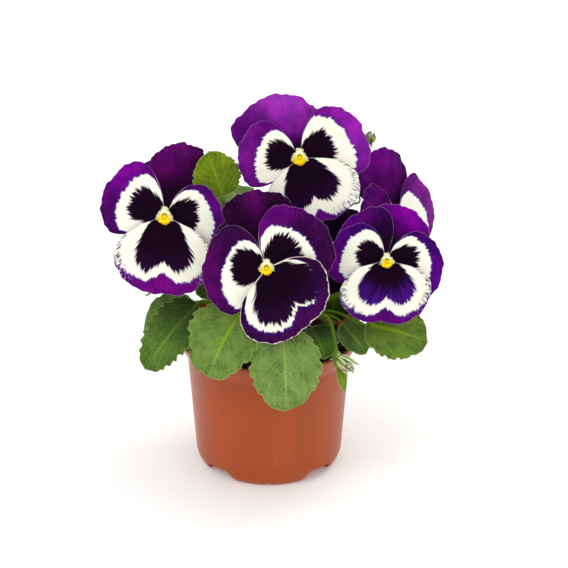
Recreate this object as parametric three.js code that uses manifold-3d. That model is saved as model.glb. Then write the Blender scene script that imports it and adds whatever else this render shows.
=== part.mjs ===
// A potted garden pansy: a thermoformed nursery pot filled with potting soil, and a plant of leafy
// shoots that carry large white-and-purple blooms with a dark blotch and a yellow eye.
// Millimetres, +Z up, and -Y is the side that the blooms face. The origin is on the ground under the
// middle of the whole plant's box, and the pieces are placed from the pot's axis, a little off it.
// Every green stem, leaf, sepal and flower stalk that grows as one is one node, every bloom's petals
// are one, and its eye, of another colour, is one.
import * as THREE from "three";
import { mergeVertices } from "three/addons/utils/BufferGeometryUtils.js";
import Module from "manifold-3d";

const wasm = await Module();
wasm.setup();

// ---------------------------------------------------------------- driving dimensions
const AXIS_X = -2; // where the pot's axis stands from the origin
const AXIS_Y = -3.3;
const POT_HEIGHT = 90;
const RIM_RADIUS = 60;
const RIM_WALL = 1.6;
const BAND_HEIGHT = 75.5; // the crease where the wall starts to flare into the rim
const BAND_RADIUS = 52;
const WALL_FOOT_HEIGHT = 7;
const WALL_FOOT_RADIUS = 46.8;
const FOOT_RING_RADIUS = 42.6;
const POT_WALL = 1.3;
const FLOOR_HEIGHT = 6;
const POT_SIDES = 32;
const FOOT_ARCHES = 4;
const ARCH_WIDTH = 27;
const ARCH_HEIGHT = 7.4; // the hollows between the feet, pressed into the foot of the wall
const ARCH_OPENING = 4.2; // how high they are open through the foot ring
const FOOT_NOTCH_WIDTH = 5;
const FOOT_NOTCH_HEIGHT = 1.2;
const DRAIN_HOLES = 6;
const DRAIN_RADIUS = 4;
const DRAIN_CIRCLE = 30;

const SOIL_TOP = 81;
const SOIL_RELIEF = 1.3;
const FIT_GAP = 0.3; // clearance between pieces that touch

const PETAL_THICKNESS = 0.7;
const LEAF_THICKNESS = 0.8;
const PETAL_ROOT = 1.4; // radius at which the petals' claws start, inside the receptacle
const RECEPTACLE_RADIUS = 3.1;
const RECEPTACLE_BACK = -7.4;
const CALYX_BACK = -10.6; // where the flower stalk meets the calyx, along the bloom's axis
const STEM_ROOT_DEPTH = 14; // how far a shoot goes down into its hole in the soil

// ---------------------------------------------------------------- small helpers
const degrees = THREE.MathUtils.degToRad;
const vec = (x, y, z) => new THREE.Vector3(x, y, z);
const at = (p) => vec(p[0], p[1], p[2]);

// A closed geometry as a manifold solid.
function solid(geometry) {
  const bare = geometry.index ? geometry.toNonIndexed() : geometry.clone();
  bare.deleteAttribute("normal");
  bare.deleteAttribute("uv");
  const merged = mergeVertices(bare, 1e-4);
  const vertProperties = new Float32Array(merged.attributes.position.array);
  const triVerts = new Uint32Array(merged.index.array);
  return new wasm.Manifold(new wasm.Mesh({ numProp: 3, vertProperties, triVerts }));
}

// Solids joined into one.
const fuse = (solids) => solids.reduce((whole, piece) => whole.add(piece));

// A solid back as a BufferGeometry.
function geometryOf(body) {
  const mesh = body.getMesh();
  const positions = new Float32Array(mesh.numVert * 3);
  for (let i = 0; i < mesh.numVert; i++) {
    positions.set(mesh.vertProperties.subarray(i * mesh.numProp, i * mesh.numProp + 3), i * 3);
  }
  const geometry = new THREE.BufferGeometry();
  geometry.setAttribute("position", new THREE.BufferAttribute(positions, 3));
  geometry.setIndex(new THREE.BufferAttribute(mesh.triVerts, 1));
  return geometry;
}

// Points and faces as a closed geometry, turned to face out.
function closedGeometry(points, faces) {
  let volume = 0;
  for (const [a, b, c] of faces) {
    volume += points[a].dot(points[b].clone().cross(points[c]));
  }
  const index = volume > 0 ? faces.flat() : faces.flatMap(([a, b, c]) => [a, c, b]);
  const geometry = new THREE.BufferGeometry().setFromPoints(points);
  geometry.setIndex(index);
  return geometry;
}

// A body through rings of points, each end closed with a fan.
function loft(rings) {
  const sides = rings[0].length;
  const points = rings.flat().map((p) => p.clone());
  const faces = [];
  for (let i = 0; i < rings.length - 1; i++) {
    for (let j = 0; j < sides; j++) {
      const a = i * sides + j;
      const b = i * sides + ((j + 1) % sides);
      faces.push([a, b, b + sides], [a, b + sides, a + sides]);
    }
  }
  for (const end of [0, rings.length - 1]) {
    const middle = points.length;
    const centre = vec(0, 0, 0);
    for (const p of rings[end]) centre.add(p);
    points.push(centre.divideScalar(sides));
    for (let j = 0; j < sides; j++) {
      const a = end * sides + j;
      const b = end * sides + ((j + 1) % sides);
      faces.push(end === 0 ? [b, a, middle] : [a, b, middle]);
    }
  }
  return solid(closedGeometry(points, faces));
}

// A round stem through a list of points, from one radius to another.
function stem(points, startRadius, endRadius, steps, sides = 5) {
  const curve = new THREE.CatmullRomCurve3(points, false, "centripetal");
  const frames = curve.computeFrenetFrames(steps, false);
  const rings = [];
  for (let i = 0; i <= steps; i++) {
    const centre = curve.getPointAt(i / steps);
    const radius = THREE.MathUtils.lerp(startRadius, endRadius, i / steps);
    const ring = [];
    for (let j = 0; j < sides; j++) {
      const turn = (2 * Math.PI * j) / sides;
      ring.push(
        centre
          .clone()
          .addScaledVector(frames.normals[i], radius * Math.cos(turn))
          .addScaledVector(frames.binormals[i], radius * Math.sin(turn)),
      );
    }
    rings.push(ring);
  }
  return loft(rings);
}

// A thin blade on a surface: pointAt(u, v) with u from 0 to 1 and v from -1 to 1. Both faces are split
// into the same triangles.
function blade(pointAt, uStops, vStops, thickness) {
  const across = vStops.length;
  const middle = uStops.map((u) => vStops.map((v) => pointAt(u, v)));
  const points = [];
  for (const sign of [1, -1]) {
    uStops.forEach((u, i) =>
      vStops.forEach((v, j) => {
        const along = middle[Math.min(i + 1, uStops.length - 1)][j]
          .clone()
          .sub(middle[Math.max(i - 1, 0)][j]);
        const over = middle[i][Math.min(j + 1, across - 1)]
          .clone()
          .sub(middle[i][Math.max(j - 1, 0)]);
        const normal = over.cross(along).normalize();
        points.push(middle[i][j].clone().addScaledVector(normal, (sign * thickness) / 2));
      }),
    );
  }
  const back = uStops.length * across;
  const faces = [];
  for (let i = 0; i < uStops.length - 1; i++) {
    for (let j = 0; j < across - 1; j++) {
      const a = i * across + j;
      const b = a + 1;
      const c = a + across;
      const d = c + 1;
      faces.push([a, b, d], [a, d, c], [back + a, back + d, back + b], [back + a, back + c, back + d]);
    }
  }
  const edge = [];
  for (let j = 0; j < across; j++) edge.push(j);
  for (let i = 1; i < uStops.length; i++) edge.push(i * across + across - 1);
  for (let j = across - 2; j >= 0; j--) edge.push((uStops.length - 1) * across + j);
  for (let i = uStops.length - 2; i > 0; i--) edge.push(i * across);
  edge.forEach((a, k) => {
    const b = edge[(k + 1) % edge.length];
    faces.push([b, a, back + a], [b, back + a, back + b]);
  });
  return solid(closedGeometry(points, faces));
}

// Stops from low to high in even steps.
const stops = (low, high, steps) =>
  Array.from({ length: steps + 1 }, (_, i) => low + ((high - low) * i) / steps);

// ---------------------------------------------------------------- the pot and its soil
function potBody() {
  const inner = (r) => r - POT_WALL;
  const profile = [
    [0, FLOOR_HEIGHT - POT_WALL],
    [FOOT_RING_RADIUS - 5, FLOOR_HEIGHT - POT_WALL],
    [FOOT_RING_RADIUS - 3.2, 0],
    [FOOT_RING_RADIUS, 0],
    [WALL_FOOT_RADIUS - 1.4, 3],
    [WALL_FOOT_RADIUS, WALL_FOOT_HEIGHT],
    [BAND_RADIUS, BAND_HEIGHT],
    [BAND_RADIUS + 3.4, BAND_HEIGHT + 5],
    [RIM_RADIUS - 0.8, POT_HEIGHT - 2.6],
    [RIM_RADIUS, POT_HEIGHT - 0.8],
    [RIM_RADIUS - 0.3, POT_HEIGHT],
    [RIM_RADIUS - RIM_WALL, POT_HEIGHT],
    [inner(BAND_RADIUS + 3.4), BAND_HEIGHT + 5],
    [inner(BAND_RADIUS), BAND_HEIGHT],
    [inner(WALL_FOOT_RADIUS), WALL_FOOT_HEIGHT + 1],
    [inner(WALL_FOOT_RADIUS) - 3, FLOOR_HEIGHT],
    [0, FLOOR_HEIGHT],
  ].map(([r, z]) => new THREE.Vector2(r, z));
  const turned = new THREE.LatheGeometry(profile, POT_SIDES).rotateX(Math.PI / 2);
  let pot = solid(turned);
  const around = footEnvelope();
  for (let i = 0; i < FOOT_ARCHES; i++) {
    const archTurn = (2 * Math.PI * (i + 0.5)) / FOOT_ARCHES;
    const notchTurn = (2 * Math.PI * i) / FOOT_ARCHES;
    const step = footCut(ARCH_WIDTH + 2 * POT_WALL, ARCH_HEIGHT + POT_WALL, archTurn, FOOT_RING_RADIUS - 3);
    pot = pot.add(step.intersect(around));
    pot = pot.subtract(footCut(ARCH_WIDTH, ARCH_HEIGHT, archTurn, FOOT_RING_RADIUS - 1.4));
    pot = pot.subtract(footCut(ARCH_WIDTH, ARCH_OPENING, archTurn, FOOT_RING_RADIUS - 11));
    pot = pot.subtract(footCut(FOOT_NOTCH_WIDTH, FOOT_NOTCH_HEIGHT, notchTurn, FOOT_RING_RADIUS - 11));
  }
  for (let i = 0; i < DRAIN_HOLES; i++) {
    const turn = (2 * Math.PI * (i + 0.5)) / DRAIN_HOLES;
    const hole = new THREE.CylinderGeometry(DRAIN_RADIUS, DRAIN_RADIUS, 2 * FLOOR_HEIGHT, 8);
    hole.rotateX(Math.PI / 2);
    hole.translate(DRAIN_CIRCLE * Math.cos(turn), DRAIN_CIRCLE * Math.sin(turn), FLOOR_HEIGHT);
    pot = pot.subtract(solid(hole));
  }
  return pot;
}

// The room inside the outer skin at the pot's foot, where a hollow's wall can stand.
function footEnvelope() {
  const profile = [
    [FOOT_RING_RADIUS - 4, FLOOR_HEIGHT - POT_WALL],
    [FOOT_RING_RADIUS - 3.2, 0.2],
    [FOOT_RING_RADIUS - 0.2, 0.2],
    [WALL_FOOT_RADIUS - 1.6, 3],
    [WALL_FOOT_RADIUS - 0.2, WALL_FOOT_HEIGHT],
    [WALL_FOOT_RADIUS + 0.2, WALL_FOOT_HEIGHT + 5],
    [FOOT_RING_RADIUS - 4, WALL_FOOT_HEIGHT + 5],
    [FOOT_RING_RADIUS - 4, FLOOR_HEIGHT - POT_WALL],
  ].map(([r, z]) => new THREE.Vector2(r, z));
  return solid(new THREE.LatheGeometry(profile, POT_SIDES).rotateX(Math.PI / 2));
}

// A wedge with sloped ends across the foot, from a distance off the axis out: it lifts the foot ring
// off the ground over a width.
function footCut(width, height, turn, from) {
  const outline = new THREE.Shape();
  outline.moveTo(-width / 2, -1);
  outline.lineTo(width / 2, -1);
  outline.lineTo(width / 2 - height * 0.9, height);
  outline.lineTo(-width / 2 + height * 0.9, height);
  outline.closePath();
  const cutter = new THREE.ExtrudeGeometry(outline, { depth: 20, bevelEnabled: false });
  cutter.rotateX(Math.PI / 2);
  cutter.rotateZ(Math.PI);
  cutter.translate(0, from, 0);
  cutter.rotateZ(turn);
  return solid(cutter);
}

// The lumps on top of the soil, as a height at a place.
const soilLumps = (x, y) =>
  SOIL_RELIEF * (Math.sin(x * 0.31 + y * 0.17) * Math.cos(y * 0.27 - x * 0.11) +
    0.5 * Math.sin(x * 0.63 - y * 0.51 + 1.3));

function soilBody(shoots) {
  const gap = POT_WALL + FIT_GAP;
  const rings = [];
  const ring = (r, height) =>
    Array.from({ length: 24 }, (_, j) => {
      const turn = (2 * Math.PI * j) / 24;
      const [x, y] = [r * Math.cos(turn), r * Math.sin(turn)];
      return vec(x, y, height(x, y));
    });
  const floor = FLOOR_HEIGHT + FIT_GAP;
  rings.push(ring(FOOT_RING_RADIUS - 6, () => floor));
  rings.push(ring(FOOT_RING_RADIUS - 5, () => ARCH_HEIGHT + 2.2));
  rings.push(ring(WALL_FOOT_RADIUS - gap - 0.3, () => ARCH_HEIGHT + 3));
  rings.push(ring(BAND_RADIUS - gap - 0.4, () => BAND_HEIGHT - 1));
  for (const r of [BAND_RADIUS + 0.6 - gap, 42, 31, 20, 9]) {
    const rise = Math.cos((Math.PI / 2) * (r / BAND_RADIUS)) * 2;
    rings.push(ring(r, (x, y) => SOIL_TOP - 2.5 + rise + soilLumps(x, y)));
  }
  let soil = loft(rings);
  for (const shoot of shoots) {
    const hole = new THREE.CylinderGeometry(shoot.radius + 0.7, shoot.radius + 0.7, 30, 6);
    hole.rotateX(Math.PI / 2);
    hole.translate(shoot.path[0][0], shoot.path[0][1], SOIL_TOP - STEM_ROOT_DEPTH - 0.4 + 15);
    soil = soil.subtract(solid(hole));
  }
  return soil;
}

// ---------------------------------------------------------------- blooms
// A bloom's own frame: x to its right as it is seen from the front, y up, z out of its face.
function bloomFrame(bloom) {
  const turn = degrees(bloom.turn);
  const lift = degrees(bloom.lift);
  const out = vec(Math.sin(turn) * Math.cos(lift), -Math.cos(turn) * Math.cos(lift), Math.sin(lift));
  const right = vec(Math.cos(turn), Math.sin(turn), 0);
  const up = out.clone().cross(right);
  const eye = at(bloom.eye);
  const place = (x, y, z) =>
    eye.clone().addScaledVector(right, x).addScaledVector(up, y).addScaledVector(out, z);
  return { eye, out, right, up, place };
}

// The five petals, back to front. layer is the height of the claw, rise the slope outwards, curl how
// far the margin bends back, as a share of the length, and wave the depth of the ruffle.
const PETAL_FORMS = {
  bannerBack: { layer: -5.4, rise: -0.13, curl: 0.05, wave: 0.035, waves: 1.6 },
  bannerFront: { layer: -3.9, rise: -0.1, curl: 0.05, wave: 0.035, waves: 1.5 },
  lateral: { layer: -1.9, rise: -0.02, curl: 0.07, wave: 0.028, waves: 1.4 },
  lower: { layer: -0.3, rise: 0.05, curl: 0.13, wave: 0.03, waves: 2.0 },
};
const EDGE_POWER = 4.5; // how square most petals' outlines are
const EDGE_FALL = 0.86; // how far the outline falls at the two straight sides
const NOTCH_DEPTH = 0.06;

// The outline's reach at t, from -1 to 1 across the petal.
function petalReach(petal, t) {
  const side = Math.sqrt(1 - EDGE_FALL * Math.abs(t) ** petal.power);
  const notch = petal.form === "lower" ? NOTCH_DEPTH * Math.exp(-((t / 0.13) ** 2)) : 0;
  const ripple = 0.012 * Math.sin(9 * t + petal.phase) + 0.008 * Math.sin(17 * t + 2 * petal.phase);
  return petal.length * (side - notch + ripple) * (1 + petal.skew * t);
}

// A point of a petal's middle surface in the bloom's frame: s from the claw out, t across.
function petalPoint(petal, s, t) {
  const form = PETAL_FORMS[petal.form];
  const r = PETAL_ROOT + s * (petalReach(petal, t) - PETAL_ROOT);
  const turn = degrees(petal.axis + petal.spread * t);
  const share = r / petal.length;
  const height =
    form.layer +
    form.rise * r -
    form.curl * petal.length * share ** 3 +
    form.wave * petal.length * share ** 2 * Math.sin(Math.PI * form.waves * t + petal.phase) +
    petal.twist * r * Math.sin(degrees(petal.spread * t));
  return [r * Math.cos(turn), r * Math.sin(turn), height];
}

const PETAL_RINGS = [0, 0.6, 1];
// Spokes crowd towards the two sides, where the outline turns.
const petalSpokes = (count) => stops(-1, 1, count).map((x) => Math.sin((Math.PI / 2) * x));

function bloomPetals(bloom) {
  const { place } = bloomFrame(bloom);
  const blades = bloom.petals.map((petal) =>
    blade(
      (u, v) => place(...petalPoint(petal, u, v)),
      PETAL_RINGS,
      petalSpokes(petal.form === "bannerBack" ? 6 : (bloom.spokes ?? 10)),
      PETAL_THICKNESS,
    ),
  );
  const around = (r, z, x = 0, y = 0) =>
    Array.from({ length: 6 }, (_, j) => {
      const turn = (2 * Math.PI * j) / 6;
      return place(x + r * Math.cos(turn), y + r * Math.sin(turn), z);
    });
  const receptacle = loft([
    around(RECEPTACLE_RADIUS - 0.8, RECEPTACLE_BACK),
    around(RECEPTACLE_RADIUS, RECEPTACLE_BACK + 1.2),
    around(RECEPTACLE_RADIUS, -0.6),
    around(RECEPTACLE_RADIUS - 0.9, 0.1),
  ]);
  const spur = loft([
    around(1.6, -4.6, 0, -3),
    around(1.4, -9, 0, -5.4),
    around(1, -13.4, 0, -7),
  ]);
  return fuse([receptacle, spur, ...blades]);
}

// The yellow eye: a shield in front of the claws with a round knob of a style on it.
function bloomEye(bloom) {
  const { place } = bloomFrame(bloom);
  const sides = 8;
  const shield = (scale, z) =>
    Array.from({ length: sides }, (_, j) => {
      const turn = (2 * Math.PI * j) / sides;
      const peak = 1 + 0.28 * Math.max(0, Math.sin(turn)) ** 3;
      return place(4.1 * scale * Math.cos(turn), 0.4 + 4.3 * scale * peak * Math.sin(turn), z);
    });
  const knob = new THREE.SphereGeometry(1.9, 6, 4);
  const centre = place(0, 0.6, 2.4);
  knob.translate(centre.x, centre.y, centre.z);
  return fuse([loft([shield(0.92, 0.75), shield(1, 1.3), shield(0.66, 2.1)]), solid(knob)]);
}

// The calyx and the top of the flower stalk, both green, in a bloom's frame.
function calyx(bloom) {
  const { place } = bloomFrame(bloom);
  const around = (r, z) =>
    Array.from({ length: 6 }, (_, j) => {
      const turn = (2 * Math.PI * (j + 0.5)) / 6;
      return place(r * Math.cos(turn), r * Math.sin(turn), z);
    });
  const back = RECEPTACLE_BACK - FIT_GAP;
  const cup = loft([around(1.4, CALYX_BACK - 1), around(2.8, back - 1.4), around(2.5, back)]);
  const sepals = [90, 18, 162, 306, 234].map((turn) => sepal(place, degrees(turn), back - 1));
  return [cup, ...sepals];
}

// One narrow pointed sepal: it lies along the backs of the petals.
function sepal(place, turn, root) {
  const [start, reach, width] = [1.7, 13, 3.6];
  return blade(
    (u, v) => {
      const r = start + u * (reach - start);
      const half = (width / 2) * Math.sin(Math.PI * (0.3 + 0.66 * u)) ** 0.8;
      const z = root - 1.2 - 0.4 * Math.abs(v) + 0.6 * Math.sin(Math.PI * u);
      const x = r * Math.cos(turn) - v * half * Math.sin(turn);
      const y = r * Math.sin(turn) + v * half * Math.cos(turn);
      return place(x, y, z);
    },
    stops(0, 1, 2),
    [-1, 0, 1],
    0.7,
  );
}

// The end of a flower stalk: it comes up behind the bloom and hooks over into the calyx.
function stalkEnd(bloom) {
  const { place } = bloomFrame(bloom);
  return [place(0, -22, -24), place(0, -7, -22), place(0, 0.4, -16.5), place(0, 0, CALYX_BACK)];
}

// ---------------------------------------------------------------- leaves
const TEETH = 5; // rounded teeth on each side of a leaf
const BACK_TEETH = 4; // on the leaves of the sides and the back
const TOOTH_DEPTH = 0.075;

// Half the width of a leaf at u, as a share of its full half width: an ovate blade with a blunt base.
function leafOutline(u, teeth) {
  const body = Math.sin(Math.PI * (0.07 + 0.9 * u ** 0.86)) ** 0.62;
  const tooth = Math.abs(Math.sin(Math.PI * teeth * u)) - 0.5;
  return body * (1 + TOOTH_DEPTH * 2 * tooth);
}

// A leaf's own frame and its surface: along is the midrib's direction, droop the angle that it bends
// down through along the blade, roll its turn about the midrib, and fold how far the halves rise.
function leafSurface(leaf) {
  const turn = degrees(leaf.turn);
  const lift = degrees(leaf.lift);
  const along = vec(Math.cos(lift) * Math.cos(turn), Math.cos(lift) * Math.sin(turn), Math.sin(lift));
  const side = vec(Math.sin(turn), -Math.cos(turn), 0).applyAxisAngle(along, degrees(leaf.roll ?? 0));
  const normal = side.clone().cross(along);
  const base = at(leaf.base);
  const bend = degrees(leaf.droop ?? 40);
  const fold = leaf.fold ?? 0.16;
  const phase = leaf.base[0] * 0.7 + leaf.base[1];
  return (u, v) => {
    const reach = leaf.length / bend;
    const half = (leaf.width / 2) * leafOutline(u, leaf.teeth ?? BACK_TEETH);
    const rise = fold * half * v * v + 0.035 * leaf.width * v * v * Math.sin(7 * u + phase + 1.5 * v);
    const out = normal.clone().multiplyScalar(Math.cos(bend * u)).addScaledVector(along, Math.sin(bend * u));
    return base
      .clone()
      .addScaledVector(along, reach * Math.sin(bend * u))
      .addScaledVector(normal, -reach * (1 - Math.cos(bend * u)))
      .addScaledVector(side, half * v)
      .addScaledVector(out, rise);
  };
}

function leafAndPetiole(leaf, path) {
  const surface = leafSurface(leaf);
  const uStops = stops(0, 1, 2 * (leaf.teeth ?? BACK_TEETH));
  const plate = blade(surface, uStops, [-1, 0, 1], LEAF_THICKNESS);
  const root = path.getPointAt(leaf.from);
  const start = surface(0.06, 0);
  const before = start.clone().addScaledVector(start.clone().sub(surface(0.2, 0)).normalize(), 6);
  const middle = root.clone().lerp(before, 0.5).add(vec(0, 0, leaf.arch ?? 3));
  const petiole = stem([root, middle, before, start], 1.2, 0.4, 4, 4);
  return [petiole, plate];
}

// ---------------------------------------------------------------- shoots
function shootBody(shoot, bloom, bud) {
  const points = shoot.path.map(at);
  const stalk = bloom ? stalkEnd(bloom) : bud ? [bloomFrame(bud).place(0, 0, -4 * bud.size)] : [];
  const path = new THREE.CatmullRomCurve3([...points, ...stalk], false, "centripetal");
  const parts = [stem([...points, ...stalk], shoot.radius, bloom ? 1.15 : 1, bloom ? 12 : 9)];
  for (const leaf of shoot.leaves) parts.push(...leafAndPetiole(leaf, path));
  if (bloom) parts.push(...calyx(bloom));
  if (bud) parts.push(...budCalyx(bud));
  return fuse(parts);
}

// A closed bud on the end of a stalk: a pointed green calyx round a dark tip.
function budTip(bud) {
  const { place } = bloomFrame(bud);
  const around = (r, z) =>
    Array.from({ length: 8 }, (_, j) => {
      const turn = (2 * Math.PI * j) / 8;
      return place(r * bud.size * Math.cos(turn), r * bud.size * Math.sin(turn), z * bud.size);
    });
  return loft([around(2.4, -1), around(2.9, 2), around(2.2, 6), around(0.5, 9.5)]);
}

function budCalyx(bud) {
  const { place } = bloomFrame(bud);
  const size = bud.size;
  const around = (r, z) =>
    Array.from({ length: 8 }, (_, j) => {
      const turn = (2 * Math.PI * j) / 8;
      return place(r * size * Math.cos(turn), r * size * Math.sin(turn), z * size);
    });
  const back = -1 - FIT_GAP / size;
  const cup = loft([around(1.1, -5), around(3.3, -2.6), around(3, back)]);
  const leaves = [90, 18, 162, 306, 234].map((turn) =>
    blade(
      (u, v) => {
        const z = back - 1.6 + 10.7 * u;
        const r = (2.6 + 1.6 * Math.sin(Math.PI * Math.min(1, u * 1.15))) * size;
        const half = 1.9 * size * Math.sin(Math.PI * (0.3 + 0.66 * u));
        const angle = degrees(turn);
        return place(
          r * Math.cos(angle) - v * half * Math.sin(angle),
          r * Math.sin(angle) + v * half * Math.cos(angle),
          z * size,
        );
      },
      stops(0, 1, 3),
      [-1, 0, 1],
      0.7,
    ),
  );
  return [cup, ...leaves];
}

// ---------------------------------------------------------------- the plant
// Each petal: form, axis in the face from the bloom's right, length, half its spread, its ripple, how
// much longer its left side is, and how square its outline is.
const petal = (form, axis, length, spread, phase = 0, skew = 0, power = EDGE_POWER, twist = 0) => ({
  form,
  axis,
  length,
  spread,
  phase,
  skew,
  power,
  twist,
});

const BLOOMS = [
  {
    name: "left",
    eye: [-63.3, -22, 177.7],
    turn: -9,
    lift: 20,
    petals: [
      petal("bannerBack", 112, 35, 42, 0.4),
      petal("bannerFront", 86, 44.5, 36, 1.9, -0.16, 3.2, 0.15),
      petal("lateral", 158, 41.8, 55, 0.8, 0.03, 4),
      petal("lateral", 5, 35.5, 62, 2.6, -0.2, 4),
      petal("lower", 270, 50.5, 68, 1.1, 0, 2.8),
    ],
  },
  {
    name: "top",
    eye: [19.3, -8, 210.7],
    turn: 3,
    lift: 27,
    petals: [
      petal("bannerBack", 75, 34, 46, 0.6),
      petal("bannerFront", 120, 43.5, 57, 2.4, 0.14),
      petal("lateral", 171, 37.5, 55, 1.4, 0.05, 3.5),
      petal("lateral", 26, 43.5, 54, 0.2, -0.1, 3.5),
      petal("lower", 289, 44, 69, 2.9),
    ],
  },
  {
    name: "front",
    eye: [-0.8, -58, 159.2],
    turn: 0,
    lift: 19,
    petals: [
      petal("bannerBack", 121, 38, 42, 2.2),
      petal("bannerFront", 98, 46.5, 41, 0.9, 0.05),
      petal("lateral", 179, 38.5, 69, 0.3, 0.1, 5),
      petal("lateral", 44, 42.5, 63, 2.1, -0.1, 3.5),
      petal("lower", 308, 45.2, 76, 0.7, -0.17, 3.2),
    ],
  },
  {
    name: "right",
    eye: [72.6, -38, 154.9],
    turn: 8,
    lift: 20,
    petals: [
      petal("bannerBack", 58, 35, 50, 1.6),
      petal("bannerFront", 124, 33.5, 56, 0.5),
      petal("lateral", 158, 34, 59, 2.7, 0.18, 3.5),
      petal("lateral", -2, 35.5, 59, 1.2, -0.22, 3.2),
      petal("lower", 267, 40.5, 77, 0.1, 0, 3.5),
    ],
  },
  {
    name: "back_right",
    eye: [83, 22, 153.5],
    turn: 50,
    lift: 16,
    petals: [
      petal("bannerBack", 60, 38, 50, 1.1),
      petal("bannerFront", 86, 48, 52, 2.5),
      petal("lateral", 140, 34, 44, 0.6),
      petal("lateral", 3, 41, 54, 1.8),
      petal("lower", 270, 42, 68, 2.3),
    ],
  },
  {
    name: "middle",
    eye: [46, 8, 139],
    turn: 4,
    lift: 34,
    spokes: 8,
    petals: [
      petal("bannerBack", 66, 31, 50, 0.2),
      petal("bannerFront", 120, 33, 54, 1.4),
      petal("lateral", 172, 29, 50, 2),
      petal("lateral", 8, 29, 50, 0.9),
      petal("lower", 270, 28, 66, 1.7),
    ],
  },
];

// A leaf: from is where on its shoot's path the petiole starts, base is where the blade starts, turn
// and lift are the way it points there, and size is its length and width.
const leaf = (from, base, turn, lift, size, more = {}) => ({
  from,
  base,
  turn,
  lift,
  length: size[0],
  width: size[1],
  ...more,
});

// Two closed buds: eye is the base of the tip, and turn and lift are the way it points.
const BUDS = [
  { name: "top", eye: [63, 14, 214], turn: 10, lift: 52, size: 0.8 },
  { name: "hanging", eye: [46, -52, 93], turn: 58, lift: -26, size: 1 },
];

// Each shoot: its path up from its hole in the soil, the bloom or bud it carries, and its leaves.
const SHOOTS = [
  {
    name: "left",
    bloom: "left",
    radius: 1.9,
    path: [[-11, -3, 67], [-11, -3, 76], [-11, -3, 85], [-19, -3, 104], [-36, 0, 126]],
    leaves: [
      leaf(0.22, [-44, -26.5, 120], -140, -27, [54, 31], { droop: 52, roll: -28, teeth: TEETH }),
      leaf(0.2, [-48, -8, 112], -174, 0, [38, 32], { droop: 62 }),
      leaf(0.42, [-27.7, -9.8, 186], 142, 64, [29, 30], { droop: -12, roll: -37, teeth: TEETH, arch: 0 }),
      leaf(0.45, [-52, 14, 140], 160, 14, [33, 27], { droop: 46 }),
    ],
  },
  {
    name: "top",
    bloom: "top",
    radius: 2,
    path: [[1, 6, 67], [1, 6, 76], [1, 6, 85], [3, 10, 112], [8, 14, 145]],
    leaves: [
      leaf(0.3, [-3, 31, 138], 106, 30, [38, 31], { droop: 58 }),
      leaf(0.45, [-8, 22, 158], 138, 44, [32, 26], { droop: 40 }),
    ],
  },
  {
    name: "front",
    bloom: "front",
    radius: 1.9,
    path: [[0, -12, 67], [0, -12, 76], [0, -12, 85], [-1, -17, 104], [-1, -25, 122]],
    leaves: [
      leaf(0.3, [9, -57, 117], -83, -52, [50, 43.5], { droop: 30, teeth: TEETH }),
      leaf(0.3, [-16.5, -47, 125], -138, -42, [46, 49], { droop: 30, roll: -12, teeth: TEETH }),
      leaf(0.24, [-26, -36, 108], -128, -12, [34, 28], { droop: 50 }),
    ],
  },
  {
    name: "right",
    bloom: "right",
    radius: 1.9,
    path: [[12, -4, 67], [12, -4, 76], [12, -4, 85], [24, -8, 102], [42, -10, 118]],
    leaves: [
      leaf(0.36, [61, -31, 108], -12, -6, [40, 38], { droop: 28, roll: 44, teeth: TEETH }),
      leaf(0.3, [46, -26, 106], -32, -34, [24, 21], { droop: 24, roll: 20 }),
      leaf(0.26, [27, -28, 104], -70, 0, [27, 25], { droop: 44 }),
    ],
  },
  {
    name: "back_right",
    bloom: "back_right",
    radius: 1.9,
    path: [[8, 13, 67], [8, 13, 76], [8, 13, 85], [20, 30, 106], [42, 44, 124]],
    leaves: [
      leaf(0.25, [32, 46, 110], 54, 4, [42, 33], { droop: 60 }),
      leaf(0.36, [58, 32, 110], 24, 0, [38, 31], { droop: 50 }),
    ],
  },
  {
    name: "middle",
    bloom: "middle",
    radius: 1.7,
    path: [[14, 5, 67], [14, 5, 76], [14, 5, 85], [27, 14, 100]],
    leaves: [
      leaf(0.5, [56, 4, 108], 2, 8, [36, 29], { droop: 44 }),
      leaf(0.4, [41, -2, 97], 75, 84, [22, 22], { droop: 16, arch: 0 }),
    ],
  },
  {
    name: "back",
    bud: "top",
    radius: 1.7,
    path: [[2, 17, 67], [2, 17, 76], [2, 17, 85], [5, 30, 118], [22, 38, 158]],
    leaves: [
      leaf(0.2, [2, 50, 108], 88, 4, [42, 34], { droop: 62 }),
      leaf(0.6, [57, 29, 170], 130, 78, [25, 19], { droop: 20, arch: 0 }),
    ],
  },
  {
    name: "back_left",
    radius: 1.8,
    path: [[-7, 9, 67], [-7, 9, 76], [-7, 9, 85], [-14, 18, 104], [-22, 26, 126], [-26, 30, 146]],
    leaves: [
      leaf(0.3, [-28, 42, 108], 122, 2, [42, 34], { droop: 60 }),
      leaf(0.45, [-48, 22, 112], 156, 4, [38, 31], { droop: 58 }),
      leaf(0.98, [-30, 38, 156], 112, 42, [34, 28], { droop: 54 }),
      leaf(0.22, [-36, 2, 110], 112, 62, [26, 24], { droop: 16, arch: 0 }),
    ],
  },
  {
    name: "bud",
    bud: "hanging",
    radius: 1.6,
    path: [[9, -11, 67], [9, -11, 76], [9, -11, 85], [22, -26, 112], [37, -41, 117], [41, -50, 106]],
    leaves: [leaf(0.93, [43, -55, 89], -35, -60, [15, 8], { droop: 20, teeth: 2, arch: 0 })],
  },
];

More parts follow.
